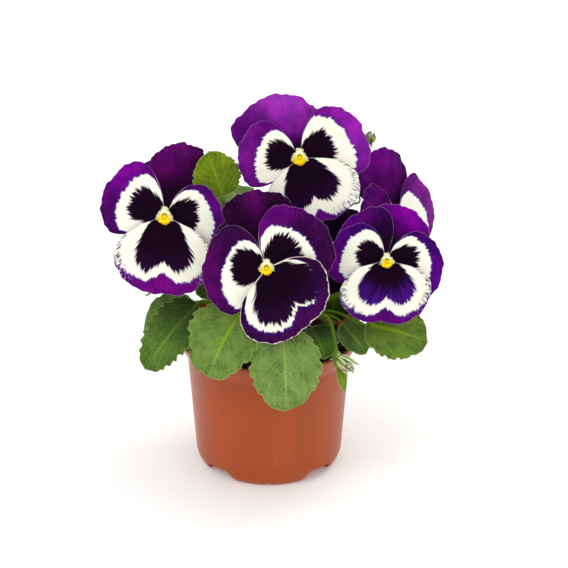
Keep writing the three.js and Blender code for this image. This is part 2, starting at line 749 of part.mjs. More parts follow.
const MATERIALS = {
  pot: new THREE.MeshStandardMaterial({ color: 0xb05a36, roughness: 0.45, metalness: 0 }),
  soil: new THREE.MeshStandardMaterial({ color: 0x241a12, roughness: 0.95, metalness: 0 }),
  leaf: new THREE.MeshStandardMaterial({ color: 0x4f7a33, roughness: 0.5, metalness: 0 }),
  petal: new THREE.MeshStandardMaterial({ color: 0x6a1296, roughness: 0.6, metalness: 0 }),
  eye: new THREE.MeshStandardMaterial({ color: 0xf5d21c, roughness: 0.6, metalness: 0 }),
};

const plant = new THREE.Group();
plant.position.set(AXIS_X, AXIS_Y, 0);

function addNode(name, body, material) {
  const mesh = new THREE.Mesh(geometryOf(body), material);
  mesh.name = name;
  plant.add(mesh);
}

addNode("pot", potBody(), MATERIALS.pot);
addNode("potting_soil", soilBody(SHOOTS), MATERIALS.soil);
for (const bloom of BLOOMS) {
  addNode(`bloom_${bloom.name}_petals`, bloomPetals(bloom), MATERIALS.petal);
  addNode(`bloom_${bloom.name}_eye`, bloomEye(bloom), MATERIALS.eye);
}
for (const bud of BUDS) addNode(`bud_${bud.name}_tip`, budTip(bud), MATERIALS.petal);
for (const shoot of SHOOTS) {
  const bloom = BLOOMS.find((b) => b.name === shoot.bloom);
  const bud = BUDS.find((b) => b.name === shoot.bud);
  addNode(`shoot_${shoot.name}`, shootBody(shoot, bloom, bud), MATERIALS.leaf);
}

export default plant;
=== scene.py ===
"""A potted garden pansy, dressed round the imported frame.

Lengths in the tables are millimetres from the pot's axis on the ground, as in the part's source, and
every mesh is turned into metres from the row's origin as it is made.
"""

import math

import bpy
import numpy as np
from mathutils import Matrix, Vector


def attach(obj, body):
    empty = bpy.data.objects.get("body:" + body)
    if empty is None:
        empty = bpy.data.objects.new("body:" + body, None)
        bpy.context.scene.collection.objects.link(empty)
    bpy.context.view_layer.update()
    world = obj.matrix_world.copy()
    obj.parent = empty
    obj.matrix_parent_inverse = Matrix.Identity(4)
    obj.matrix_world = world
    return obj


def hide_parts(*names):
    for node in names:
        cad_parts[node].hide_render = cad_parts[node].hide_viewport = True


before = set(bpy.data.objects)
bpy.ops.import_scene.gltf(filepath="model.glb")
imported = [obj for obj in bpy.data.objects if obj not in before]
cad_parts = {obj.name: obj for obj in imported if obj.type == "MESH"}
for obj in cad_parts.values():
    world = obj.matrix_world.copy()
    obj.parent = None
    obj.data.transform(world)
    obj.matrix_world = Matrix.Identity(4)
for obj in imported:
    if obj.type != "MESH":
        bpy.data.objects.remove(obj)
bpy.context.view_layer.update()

# ---------------------------------------------------------------- driving dimensions, in mm
AXIS = np.array([-2.0, -3.3, 0.0])  # the pot's axis from the row's origin
MM = 0.001

POT_HEIGHT = 90.0
RIM_RADIUS = 60.0
RIM_WALL = 1.6
BAND_HEIGHT = 75.5
BAND_RADIUS = 52.0
WALL_FOOT_HEIGHT = 7.0
WALL_FOOT_RADIUS = 46.8
FOOT_RING_RADIUS = 42.6
POT_WALL = 1.3
FLOOR_HEIGHT = 6.0
FOOT_ARCHES = 4
ARCH_WIDTH = 27.0
ARCH_HEIGHT = 7.4
FOOT_NOTCH_WIDTH = 5.0
FOOT_NOTCH_HEIGHT = 1.2
DRAIN_HOLES = 6
DRAIN_RADIUS = 4.0
DRAIN_CIRCLE = 30.0
SOIL_TOP = 81.0
SOIL_RELIEF = 1.3
FIT_GAP = 0.3

# A bloom's own frame has x to the right as seen from its front, y up and z out of its face.
PETAL_ROOT = 1.4
RECEPTACLE_RADIUS = 3.1
RECEPTACLE_BACK = -7.4
SEPAL_BACK = RECEPTACLE_BACK - FIT_GAP
CALYX_BACK = -10.6
SPUR_PATH = [(0, -3, -4.6), (0, -5.4, -9), (0, -7, -13.4)]
SPUR_RADII = [1.6, 1.4, 1.1, 0.5]
STALK_HOOK = [(0, -22, -24), (0, -7, -22), (0, 0.4, -16.5), (0, 0, CALYX_BACK)]  # into the calyx
EDGE_POWER = 4.5
EDGE_FALL = 0.86
NOTCH_DEPTH = 0.06
PETAL_THICKNESS = 0.5
PETAL_THINNING = 0.25  # how much thinner a petal is at its margin
SEPAL_ANGLES = [math.radians(angle) for angle in (90, 18, 162, 306, 234)]
EYE_HALF_WIDTH = 4.2
EYE_HALF_HEIGHT = 4.4
EYE_BACK = 0.75
STIGMA_RADIUS = 1.15

TEETH = 5
BACK_TEETH = 4
TOOTH_DEPTH = 0.075
BLADE_THICKNESS = 0.5
PETIOLE_RADII = [1.2, 1.05, 0.9, 0.75, 0.45]
QUILT_DEPTH = 0.02  # the relief between a leaf's veins, as a share of its width
VEINS = 6  # side veins on each half of a leaf
VEIN_SLANT = 0.52  # how far forward a side vein runs on its way to the edge
STEM_HEIGHTS = (67, 76, 85)  # where a shoot stands upright in its hole in the soil
HAIRS = 120  # on a shoot's stem
TUFT_HAIRS = {-1: 130, 0: 90, 1: 130}  # on the left, above and on the right of a bloom's throat
CRUMBS = 520  # on the soil
PALE_CRUMB_EVERY = 23  # one crumb in so many is a pale grain
SHARP_ANGLE = math.radians(50)  # between two faces whose edge isn't shaded smooth

PHOTO_TARGET = np.array([9.8, 0.0, 121.3]) + AXIS
PHOTO_DISTANCE = 1600.0
PHOTO_ELEVATION = math.radians(25)
PHOTO_LENS = 160.5
FLOOR_REACH = 6.0  # metres

# Profiles of turned parts, each corner a radius and a height.
RECEPTACLE_PROFILE = [
    (RECEPTACLE_RADIUS - 0.8, RECEPTACLE_BACK),
    (RECEPTACLE_RADIUS, RECEPTACLE_BACK + 1.2),
    (RECEPTACLE_RADIUS, -4.0),
    (RECEPTACLE_RADIUS, -0.6),
    (RECEPTACLE_RADIUS - 0.9, 0.1),
]
CALYX_PROFILE = [(1.3, CALYX_BACK - 1), (2.3, CALYX_BACK + 0.4), (2.8, SEPAL_BACK - 1.4), (2.5, SEPAL_BACK)]
BUD_CUP_PROFILE = [(1.1, -5), (2.5, -4), (3.3, -2.6)]
BUD_PROFILE = [(2.4, -1), (2.9, 2), (2.2, 6), (1.1, 8.6), (0.35, 9.5)]
SOIL_WALL = POT_WALL + FIT_GAP
SOIL_SIDES = [
    (FOOT_RING_RADIUS - 6, FLOOR_HEIGHT + FIT_GAP),
    (FOOT_RING_RADIUS - 5, ARCH_HEIGHT + 2.2),
    (WALL_FOOT_RADIUS - SOIL_WALL - 0.3, ARCH_HEIGHT + 3),
    (BAND_RADIUS - SOIL_WALL - 0.4, BAND_HEIGHT - 1),
]

rng = np.random.default_rng(7)


def tone(red, green, blue):
    """A colour as it looks on a screen, from 0 to 255 a channel, as linear light."""
    return tuple(((c / 255 + 0.055) / 1.055) ** 2.4 if c > 10 else c / 3294 for c in (red, green, blue))


# ---------------------------------------------------------------- the plant's tables
# Petal forms: height of the claw, slope outwards, how far the margin bends back, and the depth and
# number of waves of the ruffle.
PETAL_FORMS = {
    "bannerBack": dict(layer=-5.4, rise=-0.13, curl=0.05, wave=0.035, waves=1.6),
    "bannerFront": dict(layer=-3.9, rise=-0.1, curl=0.05, wave=0.035, waves=1.5),
    "lateral": dict(layer=-1.9, rise=-0.02, curl=0.07, wave=0.028, waves=1.4),
    "lower": dict(layer=-0.3, rise=0.05, curl=0.13, wave=0.03, waves=2.0),
}


def petal(form, axis, length, spread, phase=0.0, skew=0.0, power=EDGE_POWER, twist=0.0, **pattern):
    """One petal: its axis in the face from the bloom's right, its length, half its spread, the phase of
    its ripple, how much longer its left side is, how square its outline is, how far it twists, and how
    its pattern differs from its form's."""
    return dict(form=form, axis=axis, length=length, spread=spread, phase=phase, skew=skew, power=power,
                twist=twist, pattern=pattern)


# A petal's pattern: how far the dark blotch and the white zone reach, as shares of the petal, and how
# far the zone does at the petal's two sides; the width of the blotch, the cleft in each of them, and the
# tilt of the zone's edge; the length of the blotch's spikes; and how far a banner's dark claw reaches.
# glow is where across the petal the painted highlight on its margin lies, and how wide it is. violet,
# speckle and frill are how strong the violet rays, the flecks at the zone's edge and the pale rim are.
PLAIN_PATTERN = dict(banner=0, claw=0.6, glow=(0, 0.6), violet=0, speckle=0, spikes=0, frill=0, tilt=0)
PATTERNS = {
    "bannerBack": dict(banner=1),
    "bannerFront": dict(banner=1),
    "lateral": dict(blotch=0.58, width=0.68, cleft=0, white=0.76, side=0.9, white_cleft=0, spikes=1.1),
    "lower": dict(blotch=0.66, width=0.74, cleft=0.2, white=0.84, side=1.0, white_cleft=0.14, spikes=0.7),
}

# eye is the middle of a bloom's face, turn and lift are the way it faces, and margin is the colour of
# its petals' margins. The yellow eye is eye_size times as large as usual, and eye_drop lower.
BLOOMS = [
    dict(name="left", eye=[-63.3, -22, 177.7], turn=-9, lift=20, eye_drop=0.8, eye_size=1.12,
         margin=(66, 3, 84), petals=[
        petal("bannerBack", 112, 35, 42, 0.4, margin=(62, 6, 70), light=(96, 8, 104)),
        petal("bannerFront", 86, 44.5, 36, 1.9, -0.16, 3.2, 0.15, margin=(48, 6, 52), light=(98, 8, 104),
              glow=(0.25, 0.6)),
        petal("lateral", 158, 41.8, 55, 0.8, 0.03, 4, white=0.72, side=0.84, tilt=0.03,
              light=(118, 4, 146), glow=(-0.4, 0.5)),
        petal("lateral", 5, 35.5, 62, 2.6, -0.2, 4, white=0.8, side=0.88, tilt=-0.03, light=(92, 8, 124)),
        petal("lower", 270, 50.5, 68, 1.1, 0, 2.8, blotch=0.72, width=0.62, cleft=0.22, white=0.83,
              side=1.14, speckle=1, margin=(84, 3, 96), light=(112, 8, 124)),
    ]),
    dict(name="top", eye=[19.3, -8, 210.7], turn=3, lift=27, eye_drop=0.7, eye_size=1.06,
         margin=(92, 8, 116), petals=[
        petal("bannerBack", 75, 34, 46, 0.6, light=(160, 50, 180), claw=0.4),
        petal("bannerFront", 120, 43.5, 57, 2.4, 0.14, claw=0.36, light=(176, 64, 198),
              glow=(-0.35, 0.45)),
        petal("lateral", 171, 37.5, 55, 1.4, 0.05, 3.5, blotch=0.56, white=0.68, side=0.86, tilt=0.06,
              light=(112, 22, 132)),
        petal("lateral", 26, 43.5, 54, 0.2, -0.1, 3.5, blotch=0.54, white=0.74, side=0.9, tilt=-0.02,
              margin=(104, 14, 124), light=(144, 38, 170)),
        petal("lower", 289, 44, 69, 2.9, blotch=0.74, width=0.7, white=0.96, side=1.14, white_cleft=0.16,
              speckle=0.8),
    ]),
    dict(name="front", eye=[-0.8, -58, 159.2], turn=0, lift=19, eye_drop=0.4, eye_size=1.0,
         margin=(50, 6, 60), petals=[
        # its banners' near-black margins are painted shade: they lie in shadow behind the other blooms
        petal("bannerBack", 121, 38, 42, 2.2, margin=(20, 3, 24), light=(34, 4, 38)),
        petal("bannerFront", 98, 46.5, 41, 0.9, 0.05, margin=(36, 5, 40), light=(86, 4, 88),
              glow=(0.05, 0.2), claw=0.7),
        petal("lateral", 179, 38.5, 69, 0.3, 0.1, 5, blotch=0.56, width=0.66, white=0.66, side=0.8,
              tilt=0.14, light=(90, 4, 98), glow=(0.15, 0.4)),
        petal("lateral", 44, 42.5, 63, 2.1, -0.1, 3.5, blotch=0.56, width=0.62, white=0.66, side=0.74,
              tilt=-0.04, light=(104, 4, 124), glow=(0.65, 0.4)),
        petal("lower", 308, 45.2, 76, 0.7, -0.17, 3.2, blotch=0.78, width=0.8, cleft=0.2, white=0.83,
              side=0.74, tilt=-0.04, white_cleft=0.17, margin=(40, 7, 46), light=(66, 8, 78), frill=1),
    ]),
    dict(name="right", eye=[72.6, -38, 154.9], turn=8, lift=20, eye_drop=0.8, eye_size=0.94,
         margin=(58, 3, 98), petals=[
        petal("bannerBack", 58, 35, 50, 1.6, margin=(76, 2, 98), light=(134, 2, 160), glow=(-0.1, 0.6),
              claw=0.8),
        petal("bannerFront", 124, 33.5, 56, 0.5, margin=(48, 3, 70), light=(112, 4, 140),
              glow=(0.35, 0.6), claw=0.9),
        petal("lateral", 158, 34, 59, 2.7, 0.18, 3.5, blotch=0.56, width=0.6, white=0.76, side=0.88,
              light=(108, 4, 132), glow=(0.35, 0.4)),
        petal("lateral", -2, 35.5, 59, 1.2, -0.22, 3.2, blotch=0.58, width=0.62, white=0.77, side=0.88,
              light=(84, 3, 128), glow=(-0.2, 0.4)),
        petal("lower", 267, 40.5, 77, 0.1, 0, 3.5, blotch=0.72, width=0.72, cleft=0.22, white=0.87,
              side=1.12, violet=0.8, speckle=1, margin=(60, 4, 94), light=(88, 6, 112)),
    ]),
    dict(name="back_right", eye=[83, 22, 153.5], turn=50, lift=16, eye_drop=0.5, eye_size=1.0,
         margin=(84, 8, 100), petals=[
        petal("bannerBack", 60, 38, 50, 1.1, light=(104, 6, 122)),
        petal("bannerFront", 86, 48, 52, 2.5, margin=(62, 3, 74), light=(106, 5, 124), claw=0.5),
        petal("lateral", 140, 34, 44, 0.6, blotch=0.3, white=0.34, side=0.34, light=(92, 8, 108)),
        petal("lateral", 3, 41, 54, 1.8, blotch=0.26, white=0.7, side=0.86, tilt=-0.24,
              margin=(92, 18, 108), light=(128, 44, 142)),
        petal("lower", 270, 42, 68, 2.3, white=0.9, side=1.1),
    ]),
    dict(name="middle", eye=[46, 8, 139], turn=4, lift=34, eye_drop=0.5, eye_size=0.9, margin=(26, 4, 32),
         petals=[
        petal("bannerBack", 66, 31, 50, 0.2, light=(46, 5, 52)),
        petal("bannerFront", 120, 33, 54, 1.4, light=(46, 5, 52)),
        petal("lateral", 172, 29, 50, 2, white=0.5, side=0.6),
        petal("lateral", 8, 29, 50, 0.9, white=0.5, side=0.6),
        petal("lower", 270, 28, 66, 1.7, white=0.6, side=0.7),
    ]),
]

# flare is how far a bud's sepals spread, and pale how cream they are.
BUDS = [
    dict(name="top", eye=[63, 14, 214], turn=10, lift=52, size=0.8, flare=0.1, pale=0.3),
    dict(name="hanging", eye=[46, -52, 93], turn=58, lift=-26, size=1.0, flare=0.8, pale=1.0),
]


def rooted(x, y, *rest):
    """A shoot's path: upright in its hole in the soil, then on through the other points."""
    return [[x, y, z] for z in STEM_HEIGHTS] + list(rest)


def leaf(start, base, turn, lift, size, **more):
    """A leaf: start is where on its shoot's path the petiole begins, base is where the blade begins,
    turn and lift are the way it points there, and size is its length and width. jag is the depth of
    its small teeth; gold, lime and dusk are how golden it is, how green its midrib, and how much
    painted shade darkens its base; tint, from dark to light, is the leaf's own tone, drawn where it
    isn't given; where it is given it is also painted light and shade, low for a leaf in shade."""
    return dict(dict(start=start, base=base, turn=turn, lift=lift, length=size[0], width=size[1], droop=40,
                     roll=0, teeth=BACK_TEETH, arch=3, fold=0.16, jag=0.08, gold=0.0, lime=0.35,
                     dusk=0.15), **more)


# A shoot that has the name of a bloom carries that bloom.
SHOOTS = [
    dict(name="left", radius=1.9, path=rooted(-11, -3, [-19, -3, 104], [-36, 0, 126]), leaves=[
        leaf(0.22, [-44, -26.5, 120], -140, -27, [54, 31], droop=52, roll=-28, teeth=TEETH, tint=0.2,
             jag=0.2, dusk=0.85),
        leaf(0.2, [-48, -8, 112], -174, 0, [38, 32], droop=62),
        leaf(0.42, [-27.7, -9.8, 186], 142, 64, [29, 30], droop=-12, roll=-37, teeth=TEETH, arch=0,
             gold=0.95),
        leaf(0.45, [-52, 14, 140], 160, 14, [33, 27], droop=46),
    ]),
    dict(name="top", radius=2, path=rooted(1, 6, [3, 10, 112], [8, 14, 145]), leaves=[
        leaf(0.3, [-3, 31, 138], 106, 30, [38, 31], droop=58),
        leaf(0.45, [-8, 22, 158], 138, 44, [32, 26], droop=40),
    ]),
    dict(name="front", radius=1.9, path=rooted(0, -12, [-1, -17, 104], [-1, -25, 122]), leaves=[
        leaf(0.3, [9, -57, 117], -83, -52, [50, 43.5], droop=30, teeth=TEETH, tint=0.95),
        leaf(0.3, [-16.5, -47, 125], -138, -42, [46, 49], droop=30, roll=-12, teeth=TEETH, tint=0.7,
             gold=0.15, lime=1.0),
        leaf(0.24, [-26, -36, 108], -128, -12, [34, 28], droop=50),
    ]),
    dict(name="right", radius=1.9, path=rooted(12, -4, [24, -8, 102], [42, -10, 118]), leaves=[
        leaf(0.36, [61, -31, 108], -12, -6, [40, 38], droop=28, roll=44, teeth=TEETH, tint=0.35, gold=0.3,
             lime=1.0),
        leaf(0.3, [46, -26, 106], -32, -34, [24, 21], droop=24, roll=20, tint=0.4, dusk=0.4),
        leaf(0.26, [27, -28, 104], -70, 0, [27, 25], droop=44, tint=0.1, dusk=0.9),
    ]),
    dict(name="back_right", radius=1.9, path=rooted(8, 13, [20, 30, 106], [42, 44, 124]), leaves=[
        leaf(0.25, [32, 46, 110], 54, 4, [42, 33], droop=60),
        leaf(0.36, [58, 32, 110], 24, 0, [38, 31], droop=50),
    ]),
    dict(name="middle", radius=1.7, path=rooted(14, 5, [27, 14, 100]), leaves=[
        leaf(0.5, [56, 4, 108], 2, 8, [36, 29], droop=44, tint=0.2, dusk=0.7),
        leaf(0.4, [41, -2, 97], 75, 84, [22, 22], droop=16, arch=0, tint=0.1, dusk=0.9),
    ]),
    dict(name="back", bud="top", radius=1.7, path=rooted(2, 17, [5, 30, 118], [22, 38, 158]), leaves=[
        leaf(0.2, [2, 50, 108], 88, 4, [42, 34], droop=62),
        leaf(0.6, [57, 29, 170], 130, 78, [25, 19], droop=20, arch=0),
    ]),
    dict(name="back_left", radius=1.8, path=rooted(-7, 9, [-14, 18, 104], [-22, 26, 126], [-26, 30, 146]),
         leaves=[
        leaf(0.3, [-28, 42, 108], 122, 2, [42, 34], droop=60),
        leaf(0.45, [-48, 22, 112], 156, 4, [38, 31], droop=58),
        leaf(0.98, [-30, 38, 156], 112, 42, [34, 28], droop=54),
        leaf(0.22, [-36, 2, 110], 112, 62, [26, 24], droop=16, arch=0),
    ]),
    dict(name="bud", bud="hanging", radius=1.6,
         path=rooted(9, -11, [22, -26, 112], [37, -41, 117], [41, -50, 106]), leaves=[
        leaf(0.93, [43, -55, 89], -35, -60, [15, 8], droop=20, teeth=2, arch=0, gold=0.9),
    ]),
]


# ---------------------------------------------------------------- camera, floor and light
def linked(name, data):
    """A new object in the scene."""
    made = bpy.data.objects.new(name, data)
    bpy.context.collection.objects.link(made)
    return made


def aimed(name, data, place, target):
    """A camera or a light that stands at a place and looks at a target, in metres."""
    made = linked(name, data)
    made.location = place
    made.rotation_euler = Vector(np.subtract(target, place)).to_track_quat("-Z", "Y").to_euler()
    return made


def camera():
    """The photograph's view: a long lens, 25 degrees above the floor."""
    data = bpy.data.cameras.new("camera")
    data.sensor_width = 36
    data.lens = PHOTO_LENS
    data.clip_end = 50
    back = np.array([0.0, -math.cos(PHOTO_ELEVATION), math.sin(PHOTO_ELEVATION)])
    place = (PHOTO_TARGET + back * PHOTO_DISTANCE) * MM
    bpy.context.scene.camera = aimed("camera", data, place, PHOTO_TARGET * MM)


def area_light(name, place, size, power):
    """A square soft light, a little warm, that looks at the middle of the plant."""
    data = bpy.data.lights.new(name, "AREA")
    data.size = size
    data.energy = power
    data.color = (1.0, 0.99, 0.97)
    aimed(name, data, place, (0, 0, 0.12))


def studio():
    """A white floor that shines a little, under an even white sky, a key light from behind on the
    right, whose soft shadow falls to the front left, and a fill from the front left."""
    bpy.context.scene.view_settings.view_transform = "Standard"
    world = bpy.data.worlds.new("studio")
    bpy.context.scene.world = world
    world.use_nodes = True
    sky = world.node_tree.nodes["Background"]
    sky.inputs["Color"].default_value = (1, 1, 1, 1)
    sky.inputs["Strength"].default_value = 0.97
    area_light("key_light", (0.8, 0.85, 1.35), size=0.5, power=6)
    area_light("fill_light", (-0.85, -1.0, 1.4), size=0.6, power=5.5)
    mesh = bpy.data.meshes.new("floor")
    corners = [(x * FLOOR_REACH, y * FLOOR_REACH, 0) for x, y in ((-1, -1), (1, -1), (1, 1), (-1, 1))]
    mesh.from_pydata(corners, [], [(0, 1, 2, 3)])
    graph = Graph("floor_white", roughness=0.7, Base_Color=(0.93, 0.955, 0.95),
                  Emission_Color=(1, 1, 1), Emission_Strength=0.12)
    mesh.materials.append(graph.material)
    floor = linked("floor", mesh)


# ---------------------------------------------------------------- shader graphs
class Field:
    """A number or a colour that changes over a surface: one output of a graph's node."""

    def __init__(self, graph, socket):
        self.graph, self.socket = graph, socket

    def __add__(self, other):
        return self.graph.math("ADD", self, other)

    def __sub__(self, other):
        return self.graph.math("SUBTRACT", self, other)

    def __rsub__(self, other):
        return self.graph.math("SUBTRACT", other, self)

    def __mul__(self, other):
        return self.graph.math("MULTIPLY", self, other)

    def __truediv__(self, other):
        return self.graph.math("DIVIDE", self, other)

    def __pow__(self, other):
        return self.graph.math("POWER", self, other)

    def __abs__(self):
        return self.graph.math("ABSOLUTE", self)

    def part(self, axis):
        """The X, Y or Z of a vector."""
        return self.graph.node("SeparateXYZ", axis, {0: self})

    def step(self, low, high):
        """From 0 at low to 1 at high, smoothly; low may be above high."""
        low, high, start = (high, low, 1.0) if low > high else (low, high, 0.0)
        inputs = {"Value": self, "From Min": low, "From Max": high, "To Min": start, "To Max": 1.0 - start}
        return self.graph.node("MapRange", "Result", inputs, interpolation_type="SMOOTHSTEP")

    def shades(self, low, high, first, second):
        """From one screen colour, where the field is at low, to another, where it is at high."""
        return self.graph.mix(self.step(low, high), tone(*first), tone(*second))

    def over(self, colour, amount):
        """This colour with a field or a screen colour laid over it, by an amount from 0 to 1."""
        colour = tone(*colour) if isinstance(colour, tuple) else colour
        return self.graph.mix(amount, self, colour)

    def times(self, colour):
        """This colour multiplied by another one."""
        return self.graph.mix(1.0, self, colour, "MULTIPLY")


class Graph:
    """A material with one Principled shader, and short names for the nodes that feed it."""

    def __init__(self, name, roughness=0.5, **sockets):
        self.material = bpy.data.materials.new(name)
        self.material.use_nodes = True
        self.tree = self.material.node_tree
        self.set(Roughness=roughness, **sockets)

    def set(self, **sockets):
        """Values or fields for the shader's sockets, whose spaces are written as underscores."""
        for name, value in sockets.items():
            self.feed(self.tree.nodes["Principled BSDF"].inputs[name.replace("_", " ")], value)

    def feed(self, socket, value):
        if isinstance(value, Field):
            self.tree.links.new(value.socket, socket)
        elif isinstance(value, tuple) and len(value) == 3 and socket.type == "RGBA":
            socket.default_value = (*value, 1)
        else:
            socket.default_value = value

    def node(self, kind, output, inputs, **settings):
        """One output of a new node, once its settings are made and its inputs fed."""
        node = self.tree.nodes.new("ShaderNode" + kind)
        for name, value in settings.items():
            setattr(node, name, value)
        for name, value in inputs.items():
            self.feed(node.inputs[name], value)
        return Field(self, node.outputs[output])

    def values(self, *names):
        """Named values of the mesh's points, as numbers."""
        return [self.node("Attribute", "Fac", {}, attribute_name=name) for name in names]

    def value(self, name):
        return self.values(name)[0]

    def vector(self, name):
        """A named value of the mesh's points, as a vector or a colour."""
        return self.node("Attribute", "Vector", {}, attribute_name=name)

    def place(self):
        """Where a point is, in the piece's own frame."""
        return self.node("TexCoord", "Object", {})

    def noise(self, vector, scale=1.0, detail=2.0, roughness=0.5):
        """Noise over a vector. scale is one number, or one for each axis."""
        if isinstance(scale, tuple):
            vector, scale = self.node("Mapping", "Vector", {"Vector": vector, "Scale": scale}), 1.0
        inputs = {"Vector": vector, "Scale": scale, "Detail": detail, "Roughness": roughness}
        return self.node("TexNoise", "Fac", inputs)

    def cells(self, vector, scale):
        """The distance to the nearest edge between cells."""
        inputs = {"Vector": vector, "Scale": scale}
        return self.node("TexVoronoi", "Distance", inputs, feature="DISTANCE_TO_EDGE")

    def math(self, operation, a, b=0.0):
        return self.node("Math", 0, {0: a, 1: b}, operation=operation)

    def mix(self, factor, a, b, blend="MIX"):
        """Colour a at factor 0, and b at factor 1."""
        return self.node("Mix", 2, {0: factor, 6: a, 7: b}, data_type="RGBA", blend_type=blend)

    def finished(self, colour, height, distance, strength, **sockets):
        """The material, with its colour and a bump of a height field, whose distance is in metres."""
        bump = self.node("Bump", "Normal", {"Strength": strength, "Distance": distance, "Height": height})
        self.set(Base_Color=colour, Normal=bump, **sockets)
        return self.material


# ---------------------------------------------------------------- meshes
class Shell:
    """The points, faces and named values of one piece, gathered part by part."""

    def __init__(self):
        self.points = []
        self.faces = []
        self.parts = []
        self.count = 0

    def add(self, points, faces, **values):
        """Adds one closed part, turned to face out. A value is a number or a vector, or one of them
        for every point."""
        points = np.asarray(points, float).reshape(-1, 3)
        volume = 0.0
        for group in faces:
            a = points[group[:, 0]]
            for k in range(1, group.shape[1] - 1):
                across = np.cross(points[group[:, k]], points[group[:, k + 1]])
                volume += np.einsum("ij,ij->i", a, across).sum()
        for group in faces:
            group = group if volume > 0 else group[:, ::-1]
            self.faces += (group + self.count).tolist()
        self.points.append(points)
        self.parts.append((len(points), values))
        self.count += len(points)

    def named(self, name):
        """One named value for all the points, with 0 where a part doesn't give it."""
        given = [values[name] for _, values in self.parts if name in values]
        width = max(3 if np.ndim(value) and np.shape(value)[-1] == 3 else 1 for value in given)
        made = np.zeros((self.count, width))
        start = 0
        for size, values in self.parts:
            if name in values:
                made[start:start + size] = np.asarray(values[name], float).reshape(-1, width)
            start += size
        return made

    def mesh(self, name):
        """The gathered faces in metres, in the row's frame."""
        mesh = bpy.data.meshes.new(name)
        mesh.from_pydata(((np.concatenate(self.points) + AXIS) * MM).tolist(), [], self.faces)
        return mesh

    def piece(self, name, material):
        """The gathered parts as an object that rides on the row's one body."""
        mesh = self.mesh(name)
        mesh.materials.append(material)
        for key in sorted({k for _, values in self.parts for k in values}):
            data = self.named(key)
            kind = "FLOAT_VECTOR" if data.shape[1] == 3 else "FLOAT"
            layer = mesh.attributes.new(key, kind, "POINT")
            layer.data.foreach_set("vector" if data.shape[1] == 3 else "value", data.ravel())
        mesh.polygons.foreach_set("use_smooth", [True] * len(mesh.polygons))
        mesh.set_sharp_from_angle(angle=SHARP_ANGLE)
        mesh.update()
        made = linked(name, mesh)
        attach(made, "root")
        return made


def thin_sheet(middle, thickness):
    """The closed shell round a grid of points (rows, columns, 3), and its faces."""
    rows, columns = middle.shape[:2]
    normal = np.cross(np.gradient(middle, axis=1), np.gradient(middle, axis=0))
    normal /= np.maximum(np.linalg.norm(normal, axis=2, keepdims=True), 1e-9)
    half = normal * np.asarray(thickness)[..., None] / 2
    count = rows * columns
    points = np.concatenate([(middle + half).reshape(-1, 3), (middle - half).reshape(-1, 3)])
    index = np.arange(count).reshape(rows, columns)
    a, b, c, d = index[:-1, :-1], index[:-1, 1:], index[1:, 1:], index[1:, :-1]
    front = np.stack([a, b, c, d], -1).reshape(-1, 4)
    back = front[:, ::-1] + count
    loop = np.concatenate([index[0, :-1], index[:-1, -1], index[-1, :0:-1], index[:0:-1, 0]])
    following = np.roll(loop, -1)
    rim = np.stack([following, loop, loop + count, following + count], -1)
    return points, [np.concatenate([front, back, rim])]


def twice(values):
    """A grid of values for both faces of a thin sheet."""
    return np.concatenate([values, values]).reshape(-1, *values.shape[2:])


def sides_of(count):
    """1 for the points of a thin sheet's front face and 0 for those of its back."""
    return np.repeat([1.0, 0.0], count)


def grid(rows, columns):
    """u from 0 to 1 along a blade and v from -1 to 1 across it."""
    return np.meshgrid(np.linspace(0, 1, rows), np.linspace(-1, 1, columns), indexing="ij")


def around(count):
    """Even angles all the way round."""
    return np.linspace(0, 2 * math.pi, count, endpoint=False)


def ring(turn, radius, height):
    """Points round the z axis at the given angles."""
    return np.stack([radius * np.cos(turn), radius * np.sin(turn), height + 0 * turn], -1)


def turned(profile, sides):
    """Rings of points round the z axis through the corners (radius, height) of a profile."""
    return np.array([ring(around(sides), radius, height) for radius, height in profile])


def lofted(rings):
    """A closed body through rings of points (rings, sides, 3), and its faces."""
    rings = np.asarray(rings, float)
    count, sides = rings.shape[:2]
    index = np.arange(count * sides).reshape(count, sides)
    a, b = index[:-1], np.roll(index[:-1], -1, axis=1)
    c, d = np.roll(index[1:], -1, axis=1), index[1:]
    walls = np.stack([a, b, c, d], -1).reshape(-1, 4)
    points = np.concatenate([rings.reshape(-1, 3), rings[:1].mean(1), rings[-1:].mean(1)])
    first, last = index[0], index[-1]
    low = np.stack([np.roll(first, -1), first, np.full(sides, count * sides)], -1)
    high = np.stack([last, np.roll(last, -1), np.full(sides, count * sides + 1)], -1)
    return points, [walls, low, high]


def curve_through(points, steps=400):
    """A smooth curve through the points, as many points at even spacing along it."""
    p = np.asarray(points, float)
    p = np.concatenate([2 * p[:1] - p[1:2], p, 2 * p[-1:] - p[-2:-1]])
    made = []
    for i in range(1, len(p) - 2):
        x0, x1, x2, x3 = p[i - 1:i + 3]
        d0, d1, d2 = (max(np.linalg.norm(b - a) ** 0.5, 1e-4) for a, b in ((x0, x1), (x1, x2), (x2, x3)))
        t1 = ((x1 - x0) / d0 - (x2 - x0) / (d0 + d1) + (x2 - x1) / d1) * d1
        t2 = ((x2 - x1) / d1 - (x3 - x1) / (d1 + d2) + (x3 - x2) / d2) * d1
        t = np.linspace(0, 1, 60, endpoint=False)[:, None]
        made.append(x1 + t1 * t + (3 * (x2 - x1) - 2 * t1 - t2) * t**2 + (2 * (x1 - x2) + t1 + t2) * t**3)
    made = np.concatenate([*made, p[-2:-1]])
    length = np.concatenate([[0], np.cumsum(np.linalg.norm(np.diff(made, axis=0), axis=1))])
    even = np.linspace(0, length[-1], steps + 1)
    return np.stack([np.interp(even, length, made[:, k]) for k in range(3)], -1)


